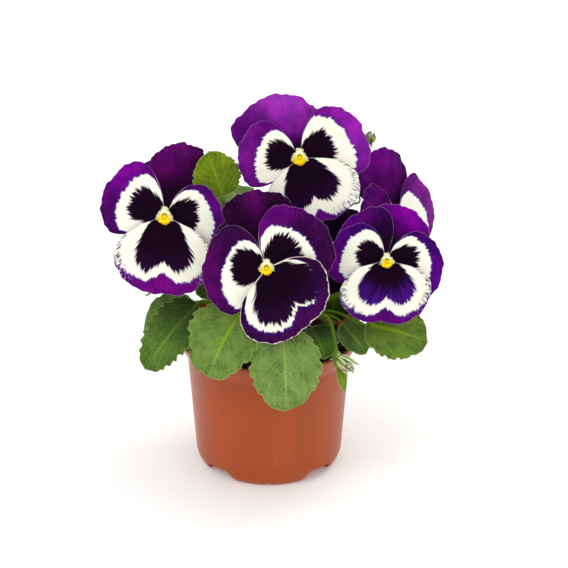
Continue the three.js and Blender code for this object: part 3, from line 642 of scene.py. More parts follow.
def tube(points, radii, steps, sides, ridges=0.0):
    """A round stem along a curve, with five ridges of a depth that is a share of its radius."""
    centre = curve_through(points, steps)
    along = np.gradient(centre, axis=0)
    along /= np.linalg.norm(along, axis=1, keepdims=True)
    normal = np.cross(along[0], [0.3, 0.9, 0.1])
    normals = []
    for direction in along:
        normal = normal - direction * (normal @ direction)
        normal = normal / np.linalg.norm(normal)
        normals.append(normal)
    normals = np.array(normals)
    across = np.cross(along, normals)
    turn = around(sides)
    radius = np.interp(np.linspace(0, 1, steps + 1), np.linspace(0, 1, len(radii)), radii)[:, None]
    radius = radius * (1 + ridges * np.cos(turn * 5))[None, :]
    rings = centre[:, None] + normals[:, None] * (radius * np.cos(turn))[..., None]
    return rings + across[:, None] * (radius * np.sin(turn))[..., None]


# ---------------------------------------------------------------- blooms
def bloom_frame(bloom):
    """A bloom's or a bud's own frame, as a function that puts its points into the plant's."""
    turn, lift = math.radians(bloom["turn"]), math.radians(bloom["lift"])
    out = np.array([math.sin(turn) * math.cos(lift), -math.cos(turn) * math.cos(lift), math.sin(lift)])
    right = np.array([math.cos(turn), math.sin(turn), 0.0])
    frame_of = np.stack([right, np.cross(out, right), out])
    return lambda points: np.asarray(points, float) @ frame_of + np.array(bloom["eye"], float)


def petal_reach(one, t):
    """The outline's reach at t, from -1 to 1 across the petal."""
    side = np.sqrt(1 - EDGE_FALL * np.abs(t) ** one["power"])
    notch = NOTCH_DEPTH * np.exp(-((t / 0.13) ** 2)) if one["form"] == "lower" else 0
    phase = one["phase"]
    ripple = 0.012 * np.sin(9 * t + phase) + 0.008 * np.sin(17 * t + 2 * phase)
    ripple = ripple + 0.005 * np.sin(31 * t + 3 * phase) + 0.005 * np.sin(47 * t + 5 * phase)
    return one["length"] * (side - notch + ripple) * (1 + one["skew"] * t)


def petal_surface(one, s, t):
    """Points of a petal's middle surface in the bloom's frame, with its finer ruffle at the margin."""
    form = PETAL_FORMS[one["form"]]
    length, phase = one["length"], one["phase"]
    reach = petal_reach(one, t)
    r = PETAL_ROOT + s * (reach - PETAL_ROOT)
    turn = np.radians(one["axis"] + one["spread"] * t)
    share = r / length
    height = (
        form["layer"]
        + form["rise"] * r
        - form["curl"] * length * share**3
        + form["wave"] * length * share**2 * np.sin(math.pi * form["waves"] * t + phase)
        + one["twist"] * r * np.sin(np.radians(one["spread"] * t))
        + 0.6 * s**6 * np.sin(13 * t + 3 * phase)
        + 0.3 * s**5 * np.sin(29 * t + 5 * phase)
        + 0.07 * share * np.sin(61 * t + 2 * phase)
    )
    return np.stack([r * np.cos(turn), r * np.sin(turn), height], -1), share, turn


def petal_values(one, s, t, share, turn, bloom, seed):
    """The fields that the petal shader reads: where the blotch and the white zone end, and so on."""
    pattern = {**PLAIN_PATTERN, **PATTERNS[one["form"]], **one["pattern"]}
    side = np.abs(t)
    blotch = white = np.ones_like(share)
    if not pattern["banner"]:
        cleft = 1 - pattern["cleft"] * np.maximum(0, 1 - side / 0.24)
        width = pattern["width"] + (1.2 - pattern["width"]) * np.exp(-((share / 0.26) ** 2))
        blotch = (side / width) ** 4 + (share / (pattern["blotch"] * cleft)) ** 4 - 1
        limit = pattern["white"] + (pattern["side"] - pattern["white"]) * side**2 + pattern["tilt"] * t
        limit = limit * (1 - pattern["white_cleft"] * np.maximum(0, 1 - side / 0.2))
        white = s / limit - 1
    reach = petal_reach(one, t)
    edge = np.minimum((1 - s) * reach, (1 - side) * np.radians(one["spread"]) * share * one["length"])
    # painted highlight: the margin brightens from its own colour towards its light colour
    middle, spread = pattern["glow"]
    glow = np.exp(-(((t - middle) / spread) ** 2)) * np.clip((s - 0.3) / 0.6, 0, 1)
    dim = pattern.get("margin", bloom["margin"])
    dim, bright = np.array(tone(*dim)), np.array(tone(*pattern.get("light", dim)))
    ray = np.stack([turn, share, np.full_like(share, seed)], -1)
    fields = dict(blotch=blotch, white=white, edge=edge, share=share, reach=s, flank=side, ray=ray,
                  margin=dim + (bright - dim) * glow[..., None])
    numbers = ("banner", "claw", "violet", "speckle", "spikes", "frill")
    return dict({name: twice(values) for name, values in fields.items()}, front=1 - sides_of(share.size),
                **{name: float(pattern[name]) for name in numbers})


def bloom_petals(bloom, number):
    """The five petals, the receptacle that they join in, and the spur behind it, as one piece."""
    place = bloom_frame(bloom)
    shell = Shell()
    s, t = grid(40, 121)
    t = np.sin(t * math.pi / 2)
    for k, one in enumerate(bloom["petals"]):
        local, share, turn = petal_surface(one, s, t)
        values = petal_values(one, s, t, share, turn, bloom, number * 7.3 + k * 1.7)
        shell.add(*thin_sheet(place(local), PETAL_THICKNESS - PETAL_THINNING * s**3), **values)
    plain = dict(banner=1.0, claw=0.6, share=0.8, edge=5.0, front=1.0)
    receptacle, spur = turned(RECEPTACLE_PROFILE, 20), tube(SPUR_PATH, SPUR_RADII, 12, 12)
    for rings, colour in ((receptacle, tone(60, 20, 70)), (spur, tone(96, 40, 110))):
        shell.add(*lofted(place(rings)), margin=colour, **plain)
    return shell


def petal_material():
    """Velvet petals: a dark blotch with a feathered edge, a cream zone, and a purple margin."""
    graph = Graph("petal_velvet", roughness=0.7, Sheen_Weight=0.03, Sheen_Roughness=0.4,
                  Sheen_Tint=(0.5, 0.06, 0.75), Specular_IOR_Level=0.02, Subsurface_Weight=0.08,
                  Subsurface_Radius=(0.6, 0.25, 0.4), Subsurface_Scale=0.0012)
    ray = graph.vector("ray")
    share, reach, banner, edge, flank = graph.values("share", "reach", "banner", "edge", "flank")
    teeth, fringe, fine, crinkle = (graph.noise(ray, (along, across, 1), 2.0, 0.6) for along, across in
                                    ((17, 1.1), (48, 2.2), (110, 3.2), (60, 26)))
    cloud = graph.noise(ray, (3.2, 4.0, 1))
    streak = teeth + fringe - 1.0

    blotch = streak * graph.value("spikes") * 1.25 + graph.value("blotch")
    dark, halo = blotch.step(0.08, -0.08), blotch.step(0.26, -0.02)
    white = streak * 0.12 + graph.value("white")
    speckle = graph.value("speckle")
    flecks = flank.step(0.3, 0.6) * 0.06 + graph.noise(ray, (56, 11, 1), 1.0)
    flecks = flecks.step(0.56, 0.6) * reach.step(0.83, 0.9) * speckle
    gaps = graph.noise(ray, (62, 12, 1), 1.0).step(0.58, 0.62) * flank.step(0.35, 0.65) * speckle
    purple = graph.math("MAXIMUM", white.step(-0.01, 0.014), flecks) * (1.0 - gaps)
    blue = white.step(-0.025, 0.005) * white.step(0.08, 0.02)

    # the velvet of the margin and the banners: light and dark rays, darker towards the claw
    velvet = graph.vector("margin")
    velvet = velvet.times(graph.mix(fine.step(0.25, 0.8), (0.78, 0.72, 0.8), (1.22, 1.2, 1.2)))
    velvet = velvet.times(graph.mix(cloud.step(0.34, 0.7), (0.66, 0.6, 0.72), (1.24, 0.9, 1.12)))
    # a painted highlight on the crests of the crinkles near the margin
    velvet = velvet.over((190, 84, 206), crinkle.step(0.45, 0.7) * reach.step(0.6, 1.0) * 0.065)
    deep = (streak * 0.3 + share) / graph.value("claw")
    velvet = velvet.over((22, 5, 26), deep.step(1.05, 0.4) * banner * 0.85)

    cream = fine.shades(0.35, 0.75, (240, 239, 220), (251, 250, 240))
    cream = cream.over((232, 236, 190), share.step(0.3, 0.06))
    cream = cream.over((120, 80, 140), halo * 0.2)
    covered = graph.math("MAXIMUM", purple, banner)
    rest = 1.0 - banner
    colour = cream.over(velvet, covered).over((76, 30, 160), blue * 0.3 * rest)

    night = fine.shades(0.4, 0.8, (16, 4, 16), (36, 7, 38))
    night = night.over((50, 10, 66), share.step(0.4, 0.7) * 0.4)
    ink = fine.shades(0.42, 0.6, (26, 4, 52), (96, 26, 170))
    night = night.over(ink, graph.value("violet") * share.step(0.3, 0.68))
    colour = colour.over(night, dark * rest)

    # the back of a petal is paler, without the blotch
    lilac = fine.shades(0.35, 0.7, (196, 176, 200), (214, 204, 210))
    under = lilac.over(velvet.over((112, 62, 130), 0.45), covered)
    colour = under.over(colour, graph.value("front"))
    # a thin painted highlight along every petal's edge, stronger near the claws of the side and lower
    # petals
    rim = edge.step(0.32, 0.06) * (share.step(0.66, 0.5) * rest * 0.46 + 0.28)
    colour = colour.over((220, 196, 216), rim)
    ragged = edge - teeth.step(0.3, 0.7) * 0.9
    frill = ragged.step(0.14, -0.08) * graph.value("frill")
    colour = colour.over((226, 214, 206), frill * 0.9)
    return graph.finished(colour, fringe * 0.5 + fine * 0.3 + crinkle * 0.2, 0.0004, 0.6)


def bloom_eye(bloom):
    """The yellow lip and throat in front of the claws, the round stigma, and the tufts of pale hairs."""
    frame_place = bloom_frame(bloom)
    size, drop = bloom["eye_size"], bloom["eye_drop"]

    def place(points):
        return frame_place(points * [size, size, 1] - [0, drop, 0])

    shell = Shell()
    rho, turn = np.meshgrid(np.linspace(0, 1, 24), around(64), indexing="ij")
    above = np.maximum(0, np.sin(turn))
    lobes = 1 + 0.04 * np.cos(5 * turn + 0.6) + 0.03 * np.sin(13 * turn) + 0.02 * np.sin(23 * turn)
    x = EYE_HALF_WIDTH * rho * np.cos(turn) * lobes * (1 - 0.42 * above * rho)
    y = 0.3 + EYE_HALF_HEIGHT * rho * (1 + 0.3 * above**3) * np.sin(turn) * lobes
    dome = EYE_BACK + 1.5 * np.sqrt(np.maximum(0, 1 - rho**2.4)) + 0.12 * np.sin(11 * turn) * rho
    lip = 0.5 * np.exp(-((x / 2.4) ** 2 + ((y + 2.0) / 1.2) ** 2))
    throat = 1.5 * np.exp(-((x / 1.2) ** 2 + ((y - 0.8) / 1.2) ** 2))
    cheeks = 0.5 * np.exp(-(((np.abs(x) - 2.3) / 0.8) ** 2 + ((y - 1.0) / 1.5) ** 2))
    upper = np.stack([x, y, dome + lip + cheeks - throat], -1)
    under = np.stack([x[::-1], y[::-1], np.full_like(x, EYE_BACK)], -1)
    points, faces = lofted(np.concatenate([upper[1:], under[:-1]]))
    shell.add(place(points), faces, spot=points)
    tilts = np.linspace(0.08, math.pi - 0.08, 10)
    stigma = turned([(STIGMA_RADIUS * math.sin(tilt), 1.7 + math.cos(tilt)) for tilt in tilts], 16)
    points, faces = lofted(stigma + [0, 0.3, 0])
    shell.add(place(points), faces, spot=points + [0, 0, 20])
    for tuft, hairs in TUFT_HAIRS.items():
        for _ in range(hairs):
            if tuft:
                height = rng.uniform(-1.6, 2.8)
                root = [tuft * rng.uniform(1.8, 4.3 - 0.6 * max(0, height)), height, rng.uniform(1.1, 2.0)]
                lean = [tuft * rng.uniform(0.0, 1.2), rng.uniform(-0.6, 0.7), rng.uniform(0.3, 1.0)]
            else:
                root = [rng.uniform(-1.9, 1.9), rng.uniform(3.0, 5.4), rng.uniform(1.0, 1.7)]
                lean = [rng.uniform(-0.6, 0.6), rng.uniform(0.2, 1.2), rng.uniform(0.3, 1.0)]
            root, lean = np.array(root), np.array(lean)
            tip = root + lean / np.linalg.norm(lean) * rng.uniform(0.7, 1.5)
            hair = tube([root, (root + tip) / 2 + [0, 0.1, 0], tip], [0.16, 0.14, 0.07], 3, 4)
            points, faces = lofted(hair)
            shell.add(place(points), faces, spot=points, hair=1.0)
    return shell


def eye_material():
    """Yellow, orange below the throat, cream above it and at the sides, with pale hairs. The stigma's
    spots are moved far up, so that it has a yellow of its own."""
    graph = Graph("eye_yellow", roughness=0.55, Specular_IOR_Level=0.12, Subsurface_Weight=0.06,
                  Subsurface_Scale=0.001)
    spot = graph.vector("spot")
    x, y, z = (spot.part(axis) for axis in "XYZ")
    grain = graph.noise(spot, 1.6, 3.0)
    low = grain * 1.8 + y
    colour = low.shades(-1.4, -3.0, (255, 222, 8), (240, 156, 4))
    wide = abs(x) ** 2.0
    high = wide * 0.09 + low
    cream = high.shades(2.4, 4.4, (240, 230, 130), (250, 248, 216))
    colour = colour.over(cream, high.step(2.3, 3.4))
    throat = (y - 0.7) ** 2.0 * 0.6 + wide
    pit = grain.shades(0.42, 0.6, (178, 96, 8), (120, 104, 14))
    colour = colour.over(pit, throat.step(3.0, 1.4) * 0.8)
    rays = graph.noise(spot, (2.6, 0.5, 1)).step(0.56, 0.64) * low.step(0.6, -0.4)
    colour = colour.over((214, 130, 4), rays * 0.5).over((240, 216, 26), z.step(8, 12))
    tuft = high.shades(0.4, 2.6, (248, 216, 60), (250, 247, 214))
    return graph.finished(colour.over(tuft, graph.value("hair")), grain, 0.0004, 0.6)


# ---------------------------------------------------------------- leaves and shoots
def leaf_outline(u, teeth, jag):
    """Half the width of a leaf at u, as a share of its full half width, with a rounded tip and base.
    Every broad tooth has two smaller ones that point forward."""
    body = np.sin(math.pi * (0.07 + 0.9 * u**0.86)) ** 0.62
    ends = np.sqrt(np.clip(1 - np.maximum(0, (u - 0.91) / 0.09) ** 2, 0, 1))
    ends = ends * np.sqrt(np.clip(1 - np.maximum(0, (0.05 - u) / 0.05) ** 2, 0, 1))
    tooth = np.abs(np.sin(math.pi * teeth * u)) - 0.5
    along = (2 * teeth * u + 0.3) % 1
    point = along**1.5 - np.clip((along - 0.8) / 0.2, 0, 1) ** 2 - 0.3
    return np.maximum(body * (1 + TOOTH_DEPTH * tooth + jag * point) * ends, 0.012)


def rotated(vector, axis, angle):
    """vector turned about a unit axis."""
    return (vector * math.cos(angle) + np.cross(axis, vector) * math.sin(angle)
            + axis * (axis @ vector) * (1 - math.cos(angle)))


def leaf_surface(one):
    """The surface of a leaf: points for u from 0 to 1 along it and v from -1 to 1 across, with its
    veins sunk by up to relief."""
    turn, lift = math.radians(one["turn"]), math.radians(one["lift"])
    along = np.array([math.cos(lift) * math.cos(turn), math.cos(lift) * math.sin(turn), math.sin(lift)])
    side = rotated(np.array([math.sin(turn), -math.cos(turn), 0.0]), along, math.radians(one["roll"]))
    normal = np.cross(side, along)
    base = np.array(one["base"], float)
    bend = math.radians(one["droop"])
    phase = base[0] * 0.7 + base[1]

    def surface(u, v, relief=0.0):
        u, v = np.asarray(u, float), np.asarray(v, float)
        reach = one["length"] / bend
        half = one["width"] / 2 * leaf_outline(u, one["teeth"], one["jag"])
        rise = one["fold"] * half * v * v
        rise = rise + 0.035 * one["width"] * v * v * np.sin(7 * u + phase + 1.5 * v)
        vein = (u - VEIN_SLANT * np.abs(v) ** 1.2) * VEINS
        quilt = np.abs(np.sin(math.pi * vein)) ** 0.7 - 0.6
        rise = rise + relief * quilt * np.minimum(1, 3 * np.abs(v)) * (1 - v**6) * np.minimum(1, 8 * u)
        rise = rise + relief * (np.minimum(1, np.abs(v) * 6) - 1) * (1 - u)
        out = np.cos(bend * u)[..., None] * normal + np.sin(bend * u)[..., None] * along
        return (
            base
            + (reach * np.sin(bend * u))[..., None] * along
            - (reach * (1 - np.cos(bend * u)))[..., None] * normal
            + (half * v)[..., None] * side
            + rise[..., None] * out
        )

    return surface


def add_leaf(shell, one, path, number):
    """A blade with its quilted relief and its petiole."""
    surface = leaf_surface(one)
    u, v = grid(121, 29)
    half = one["width"] / 2 * leaf_outline(u, one["teeth"], one["jag"])
    shell.add(
        *thin_sheet(surface(u, v, QUILT_DEPTH * one["width"]), BLADE_THICKNESS),
        blade=twice(np.stack([u, v, 0 * u], -1)),
        flat=twice(np.stack([u * one["length"], v * half, np.full_like(u, number * 11.0)], -1)),
        front=sides_of(u.size),
        edge=twice(np.minimum((1 - np.abs(v)) * half, (1 - u) * one["length"])),
        tint=one.get("tint", rng.uniform(0, 0.7)),
        **{name: one[name] for name in ("gold", "lime", "dusk")},
    )
    root = path[int(round(one["start"] * (len(path) - 1)))]
    start = surface(0.06, 0.0)
    back = start - surface(0.2, 0.0)
    before = start + back / np.linalg.norm(back) * 6
    middle = (root + before) / 2 + [0, 0, one["arch"]]
    petiole = tube([root, middle, before, start], PETIOLE_RADII, 26, 10, 0.06)
    shell.add(*lofted(petiole), stalk=1.0, rise=0.6)


def fanned(r, across, z, angle):
    """Points of a strip that leaves a bloom's axis at an angle: r away from it and across to the side."""
    return np.stack([r * math.cos(angle) - across * math.sin(angle),
                     r * math.sin(angle) + across * math.cos(angle), z], -1)


def add_calyx(shell, bloom):
    """The green cup behind the petals, its five sepals and their short lobes behind."""
    place = bloom_frame(bloom)
    shell.add(*lofted(place(turned(CALYX_PROFILE, 16))), stalk=1.0, rise=0.9)
    u, v = grid(16, 9)
    half = v / 2 * np.sin(math.pi * (0.3 + 0.66 * u)) ** 0.8
    sepal = (1.7 + 11.3 * u, 3.6 * half, SEPAL_BACK - 2.2 - 0.4 * np.abs(v) + 0.6 * np.sin(math.pi * u))
    lobe = (1.7 + 1.6 * u, 3.0 * half, SEPAL_BACK - 2.4 - 3.6 * u)
    for angle in SEPAL_ANGLES:
        for strip in (sepal, lobe):
            shell.add(*thin_sheet(place(fanned(*strip, angle)), BLADE_THICKNESS), stalk=1.0, rise=0.8)


def add_hairs(shell, line, radius):
    """Short fine hairs that stand out all along a stem."""
    for _ in range(HAIRS):
        k = rng.integers(2, len(line) - 3)
        along = line[k + 1] - line[k - 1]
        along = along / np.linalg.norm(along)
        way = np.cross(along, rng.normal(size=3))
        way = way / np.linalg.norm(way)
        root = line[k] + way * radius * 0.8
        tip = root + way * rng.uniform(0.7, 1.3) + along * rng.uniform(-0.2, 0.3)
        across = np.cross(way, along) * 0.05
        corners = [root + across, root - across, root + along * 0.07]
        faces = [np.array([[0, 1, 2], [0, 3, 1], [1, 3, 2], [2, 3, 0]])]
        shell.add([*corners, tip], faces, stalk=1.0, rise=1.0)


def shoot_shell(shoot, number):
    """One leafy shoot: its stem, petioles, leaves, and the calyx of its bloom or bud."""
    bloom = next((b for b in BLOOMS if b["name"] == shoot["name"]), None)
    bud = next((b for b in BUDS if b["name"] == shoot.get("bud")), None)
    points = list(shoot["path"])
    if bloom:
        points += list(bloom_frame(bloom)(STALK_HOOK))
    if bud:
        points.append(bloom_frame(bud)((0, 0, -4 * bud["size"])))
    shell = Shell()
    end = 1.15 if bloom else 1.0
    stem, faces = lofted(tube(points, np.linspace(shoot["radius"], end, 4), 90, 12, 0.07))
    shell.add(stem, faces, stalk=1.0, rise=np.clip((stem[:, 2] - 80) / 100, 0, 1))
    path = curve_through(points)
    add_hairs(shell, path[60:], end)  # the start of the path is in the soil
    for k, one in enumerate(shoot["leaves"]):
        add_leaf(shell, one, path, number * 5 + k)
    if bloom:
        add_calyx(shell, bloom)
    if bud:
        add_bud_calyx(shell, bud)
    return shell


def add_bud_calyx(shell, bud):
    """The cup, and the five pointed sepals with their back lobes, that clasp a closed bud."""
    place = bloom_frame(bud)
    size = bud["size"]
    back = -1 - FIT_GAP / size
    cup = turned([*BUD_CUP_PROFILE, (3, back)], 16)
    shell.add(*lofted(place(cup * size)), stalk=1.0, rise=0.8)
    u, v = grid(24, 11)
    lobe = (2.2 + 1.6 * u, 1.3 * np.sin(math.pi * (0.3 + 0.64 * u)), back - 1.8 - 4.2 * u)
    for k, angle in enumerate(SEPAL_ANGLES):
        flare = bud["flare"] * (1 + 0.4 * math.sin(2.3 * k))
        out = 2.6 + 1.6 * np.sin(math.pi * np.minimum(1, u * 1.15)) + 3.4 * flare * u**2.5
        half = 2.1 * np.sin(math.pi * (0.3 + 0.69 * u)) ** 0.9
        sepal = (out, half, back - 1.6 + (10.9 + 1.2 * flare) * u)
        for r, wide, z in (sepal, lobe):
            strip = fanned(r - 0.25 * v * v, v * wide, z, angle) * size
            shell.add(*thin_sheet(place(strip), BLADE_THICKNESS), stalk=1.0, rise=1.0,
                      blade=twice(np.stack([u, v, 0 * u], -1)), sepal=bud["pale"])


def bud_tip(bud):
    """The furled petals of a closed bud."""
    radii, corners = zip(*BUD_PROFILE)
    heights = np.linspace(corners[0], corners[-1], 20)
    turn = around(24)
    rings = [ring(turn, radius * (1 + 0.1 * np.cos(3 * turn + height * 0.55)), height)
             for height, radius in zip(heights, np.interp(heights, corners, radii))]
    points, faces = lofted(np.array(rings) * bud["size"])
    shell = Shell()
    shell.add(bloom_frame(bud)(points), faces, spot=points)
    return shell


def bud_material():
    """Green petals, cream towards their tips, with dark stripes."""
    graph = Graph("bud_petals", roughness=0.6)
    spot = graph.vector("spot")
    grain = graph.noise(spot, (2.0, 2.0, 0.3), 3.0)
    colour = spot.part("Z").shades(0, 8, (150, 172, 96), (214, 216, 178))
    colour = colour.over((58, 44, 66), grain.step(0.46, 0.56) * 0.85)
    return graph.finished(colour, grain, 0.0003, 0.6)


def leaf_material():
    """Green blades with soft pale veins in a quilted surface, and lime stalks."""
    graph = Graph("leaf_green", roughness=0.5, Specular_IOR_Level=0.14, Subsurface_Weight=0.06,
                  Subsurface_Radius=(0.4, 0.8, 0.15), Subsurface_Scale=0.0012)
    blade, flat = graph.vector("blade"), graph.vector("flat")
    tint, gold = graph.values("tint", "gold")
    u, v, across = blade.part("X"), abs(blade.part("Y")), abs(flat.part("Y"))
    bent = (graph.noise(flat, 0.12, 1.0) - 0.5) * 0.05 + (u - v**1.2 * VEIN_SLANT)
    wave = graph.math("FRACT", bent * float(VEINS) + 6.0)
    gap = graph.math("MINIMUM", wave, 1.0 - wave)
    side_vein = gap.step(0.08, 0.0) * v.step(1.0, 0.5)
    midrib = across.step(0.75, 0.15) * u.step(1.0, 0.6)
    veins = graph.math("MAXIMUM", side_vein, midrib)
    net = graph.cells(flat, 0.34).step(0.1, 0.0)
    fine_net = graph.cells(flat, 0.9).step(0.12, 0.0)

    # partly the leaf's own mottle, partly painted light: lighter between the veins, on the quilting's
    # crests
    shade = gap.step(0.0, 0.3) * 0.08 + graph.noise(flat, 0.09, 4.0, 0.6)
    # dark and light greens, mixed by the leaf's own tone and by painted light: low for leaves in shade
    dark = graph.mix(tint, tone(34, 64, 6), tone(74, 106, 26))
    light = graph.mix(tint, tone(72, 108, 14), tone(122, 152, 66))
    golden = shade.shades(0.34, 0.7, (78, 108, 2), (118, 142, 8))
    colour = dark.over(light, shade.step(0.28, 0.72)).over(golden, gold)
    # painted shade in the valleys beside the veins
    painted_vein_shade = gap.step(0.34, 0.1) * v.step(0.0, 0.2)
    colour = colour.over(colour.times((0.66, 0.72, 0.6)), painted_vein_shade * 0.3)
    pale = graph.mix(tint, tone(104, 138, 48), tone(176, 194, 136)).over((152, 172, 40), gold)
    for lines, strength in ((fine_net, 0.12), (net, 0.2), (side_vein, 0.7), (midrib, 0.75)):
        colour = colour.over(pale, lines * strength)
    lime = across.step(1.9, 0.3) * u.step(1.0, 0.3) * graph.value("lime")
    colour = colour.over((132, 172, 8), lime)
    under = graph.mix(veins * 0.5, tone(112, 142, 66), tone(160, 184, 110))
    under = under.over((146, 170, 96), net * 0.25)
    colour = under.over(colour, graph.value("front"))
    # painted shade over the base of a leaf that lies under the blooms and other leaves
    shaded = u.step(0.75, 0.2) * graph.value("dusk")
    colour = colour.over(colour.times((0.16, 0.2, 0.08)), shaded)
    colour = colour.over((168, 182, 104), graph.value("edge").step(0.5, 0.12) * 0.45)

    grain = graph.noise(graph.place(), 420.0, 3.0)
    stem = graph.mix(graph.value("rise"), tone(66, 96, 20), tone(112, 152, 22))
    stem = stem.over((70, 104, 24), grain.step(0.4, 0.7) * 0.35)
    sepal = v.shades(0.2, 0.7, (120, 150, 62), (214, 222, 172))
    sepal = sepal.over((66, 54, 66), grain.step(0.5, 0.6) * u.step(0.2, 0.6) * 0.7)
    colour = colour.over(stem, graph.value("stalk")).over(sepal, graph.value("sepal"))
    height = graph.noise(flat, 0.5, 3.0) * 0.9 + grain * 0.25 - veins * 0.3 - net * 0.1
    return graph.finished(colour, height, 0.0009, 0.9)


# ---------------------------------------------------------------- the pot and its soil
def arch_lift(turn):
    """How far the foot ring is lifted off the ground at an angle round the pot."""
    lift = np.zeros_like(turn)
    for width, height, first in ((ARCH_WIDTH, ARCH_HEIGHT, 0.5), (FOOT_NOTCH_WIDTH, FOOT_NOTCH_HEIGHT, 0)):
        for i in range(FOOT_ARCHES):
            centre = 2 * math.pi * (i + first) / FOOT_ARCHES
            off = np.abs((turn - centre + math.pi) % (2 * math.pi) - math.pi) * FOOT_RING_RADIUS
            slope = np.clip((width / 2 - off) / (height * 0.9), 0, 1)
            lift = np.maximum(lift, height * slope * slope * (3 - 2 * slope))
    return lift


def smooth_profile(corners, steps=5):
    """An outline through corners (radius, height, rounding), each rounded by up to its own length."""
    corners = np.array(corners, float)
    made = []
    for k, (point, rounding) in enumerate(zip(corners[:, :2], corners[:, 2])):
        if rounding == 0:
            made.append(point)
            continue
        before, after = corners[k - 1, :2] - point, corners[k + 1, :2] - point
        reach = min(rounding, np.linalg.norm(before) * 0.45, np.linalg.norm(after) * 0.45)
        first, last = (point + way / np.linalg.norm(way) * reach for way in (before, after))
        for t in np.linspace(0, 1, steps):
            made.append((1 - t) ** 2 * first + 2 * t * (1 - t) * point + t**2 * last)
    return np.array(made)


def pot_shell():
    """The thin plastic pot: a turned wall, its rim band, and the feet under it."""
    inner = -POT_WALL
    corners = [
        (0.01, FLOOR_HEIGHT + inner, 0),
        (FOOT_RING_RADIUS - 5, FLOOR_HEIGHT + inner, 0.6),
        (FOOT_RING_RADIUS - 3.2, 0, 0.4),
        (FOOT_RING_RADIUS, 0, 0.9),
        (WALL_FOOT_RADIUS - 1.4, 3, 1.6),
        (WALL_FOOT_RADIUS, WALL_FOOT_HEIGHT, 2.0),
        (WALL_FOOT_RADIUS + 2.6, 41, 0),
        (BAND_RADIUS, BAND_HEIGHT, 1.0),
        (BAND_RADIUS + 3.4, BAND_HEIGHT + 5, 3.0),
        (RIM_RADIUS - 0.8, POT_HEIGHT - 2.6, 1.0),
        (RIM_RADIUS, POT_HEIGHT - 0.8, 0.5),
        (RIM_RADIUS - 0.3, POT_HEIGHT, 0.25),
        (RIM_RADIUS - RIM_WALL, POT_HEIGHT, 0.4),
        (BAND_RADIUS + 3.4 + inner, BAND_HEIGHT + 5, 3.0),
        (BAND_RADIUS + inner, BAND_HEIGHT, 1.0),
        (WALL_FOOT_RADIUS + inner, WALL_FOOT_HEIGHT + 1, 2.0),
        (WALL_FOOT_RADIUS + inner - 3, FLOOR_HEIGHT, 1.0),
        (FOOT_RING_RADIUS - 3.4, FLOOR_HEIGHT, 0),
        (FOOT_RING_RADIUS - 4.6, FLOOR_HEIGHT, 0),
        (0.01, FLOOR_HEIGHT, 0),
    ]
    profile = smooth_profile(corners)
    turn = around(288)
    lift = arch_lift(turn)
    inside = len(profile) - 1 - np.argmax(profile[::-1, 1] > POT_HEIGHT / 2)
    rings = []
    for k, (r, z) in enumerate(profile):
        if r > FOOT_RING_RADIUS - 4:
            skin = POT_WALL * np.clip(lift / 3, 0, 1) if k > inside else 0
            z = np.maximum(z, lift + skin)
        rings.append(ring(turn, r, z))
    shell = Shell()
    shell.add(*lofted(rings))
    return shell


def drill(piece):
    """Cuts the drain holes through the pot's floor."""
    shell = Shell()
    for i in range(DRAIN_HOLES):
        angle = 2 * math.pi * (i + 0.5) / DRAIN_HOLES
        middle = [DRAIN_CIRCLE * math.cos(angle), DRAIN_CIRCLE * math.sin(angle), 0]
        hole = turned([(DRAIN_RADIUS, 0), (DRAIN_RADIUS, 2 * FLOOR_HEIGHT)], 24)
        shell.add(*lofted(hole + middle))
    cutter = linked("cutter", shell.mesh("cutter"))
    cut = piece.modifiers.new("drain_holes", "BOOLEAN")
    cut.operation = "DIFFERENCE"
    cut.solver = "EXACT"
    cut.object = cutter
    depsgraph = bpy.context.evaluated_depsgraph_get()
    cut_mesh = bpy.data.meshes.new_from_object(piece.evaluated_get(depsgraph))
    piece.modifiers.clear()
    piece.data = cut_mesh
    bpy.data.objects.remove(cutter)


def pot_material():
    """Terracotta-coloured plastic with a satin skin, faint rings, a little dust, and soft vertical
    bands of painted shade.
    """
    graph = Graph("pot_plastic", roughness=0.38, Specular_IOR_Level=0.26, Coat_Weight=0.05,
                  Coat_Roughness=0.3)
    place = graph.place()
    cloud = graph.noise(place, (14, 14, 9), 3.0)
    rings = graph.noise(place, (2, 2, 260))
    dust = graph.noise(place, (60, 60, 30), 4.0)
    painted_shade_bands = graph.noise(place, (55, 55, 2.5))
    colour = cloud.shades(0.3, 0.7, (160, 65, 15), (170, 72, 20))
    # soft darker vertical bands: painted shade for the uneven light round the pot
    colour = colour.over((146, 66, 32), painted_shade_bands.step(0.4, 0.7) * 0.4)
    colour = colour.over((152, 58, 24), rings.step(0.45, 0.7) * 0.1)
    colour = colour.over((176, 110, 84), dust.step(0.62, 0.8) * 0.22)
    height = rings * 0.25 + graph.noise(place, 900.0) * 0.3
    rough = cloud * 0.14 + 0.29 + dust.step(0.6, 0.8) * 0.12
    return graph.finished(colour, height, 0.00012, 0.5, Roughness=rough)


def soil_height(x, y):
    """The soil's top at a place: higher in the middle, and lumpy."""
    lumps = np.sin(x * 0.31 + y * 0.17) * np.cos(y * 0.27 - x * 0.11)
    lumps = lumps + 0.5 * np.sin(x * 0.63 - y * 0.51 + 1.3)
    rise = np.cos(math.pi / 2 * np.minimum(1, np.hypot(x, y) / BAND_RADIUS)) * 2
    return SOIL_TOP - 2.5 + rise + SOIL_RELIEF * lumps


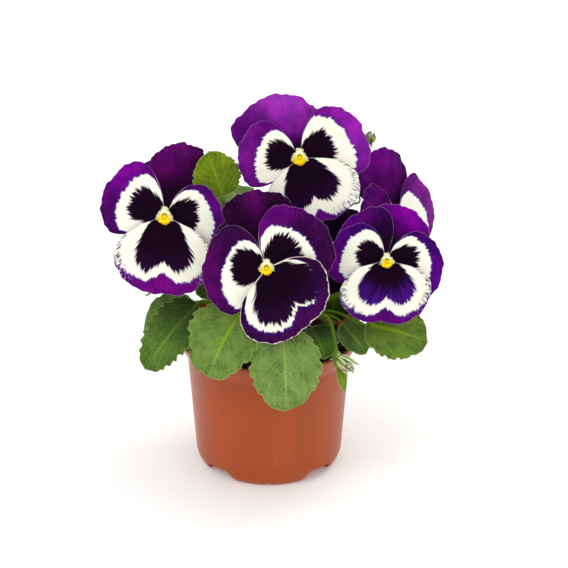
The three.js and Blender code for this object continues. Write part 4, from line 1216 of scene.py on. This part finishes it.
def soil_shell():
    """The potting mix: a rough crust, with crumbs of bark and a few pale grains on it."""
    turn = around(150)
    rings = list(turned(SOIL_SIDES, len(turn)))
    for r in np.linspace(BAND_RADIUS + 0.6 - SOIL_WALL, 0.8, 56):
        rough = rng.uniform(-0.45, 0.45, len(turn))
        rings.append(ring(turn, r, soil_height(r * np.cos(turn), r * np.sin(turn)) + rough))
    shell = Shell()
    shell.add(*lofted(rings))
    for k in range(CRUMBS):
        r, angle = 50 * math.sqrt(rng.uniform(0, 1)), rng.uniform(0, 2 * math.pi)
        x, y = r * math.cos(angle), r * math.sin(angle)
        size = rng.uniform(0.5, 1.5)
        stretch = size * rng.uniform(0.6, 1.6, 3) * [1, 1, 0.7]
        spin = around(6) + rng.uniform(0, math.pi)
        rings = [ring(spin, width, height) * stretch * rng.uniform(0.85, 1.15, (6, 3))
                 for width, height in ((0.5, -0.8), (1, 0), (0.55, 0.8))]
        points, faces = lofted(rings)
        grain = 1.0 if k % PALE_CRUMB_EVERY == 0 else 0.2
        shell.add(points + [x, y, soil_height(x, y) + 0.3 * size], faces, grain=grain)
    return shell


def soil_material():
    """Dark peat and bark; grain is 1 for the pale grains."""
    graph = Graph("potting_mix", roughness=0.92, Specular_IOR_Level=0.2)
    place = graph.place()
    coarse, fine = graph.noise(place, 260.0, 4.0, 0.7), graph.noise(place, 1300.0, 3.0, 0.7)
    colour = coarse.shades(0.35, 0.7, (26, 18, 13), (66, 46, 32))
    colour = colour.over((92, 66, 46), fine.step(0.5, 0.75) * 0.5)
    colour = colour.over((196, 190, 176), graph.value("grain").step(0.5, 0.9))
    return graph.finished(colour, coarse + fine, 0.0009, 0.9)


# ---------------------------------------------------------------- the whole plant
def dress(shell, name, material, slot, *nodes):
    """A finished piece that stands for CAD nodes."""
    made = shell.piece(name, material)
    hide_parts(*nodes)
    return made


camera()
studio()

drill(dress(pot_shell(), "nursery_pot", pot_material(), "pot", "pot"))
dress(soil_shell(), "potting_mix", soil_material(), "soil", "potting_soil")

petals, eyes, leaves, buds = petal_material(), eye_material(), leaf_material(), bud_material()
for number, bloom in enumerate(BLOOMS):
    name = bloom["name"]
    dress(bloom_petals(bloom, number), f"petals_{name}", petals, "petal", f"bloom_{name}_petals")
    dress(bloom_eye(bloom), f"eye_{name}", eyes, "eye", f"bloom_{name}_eye")
for number, shoot in enumerate(SHOOTS):
    name = shoot["name"]
    dress(shoot_shell(shoot, number), f"leafy_shoot_{name}", leaves, "leaf", f"shoot_{name}")
for bud in BUDS:
    dress(bud_tip(bud), f"bud_{bud['name']}_petals", buds, "bud", f"bud_{bud['name']}_tip")
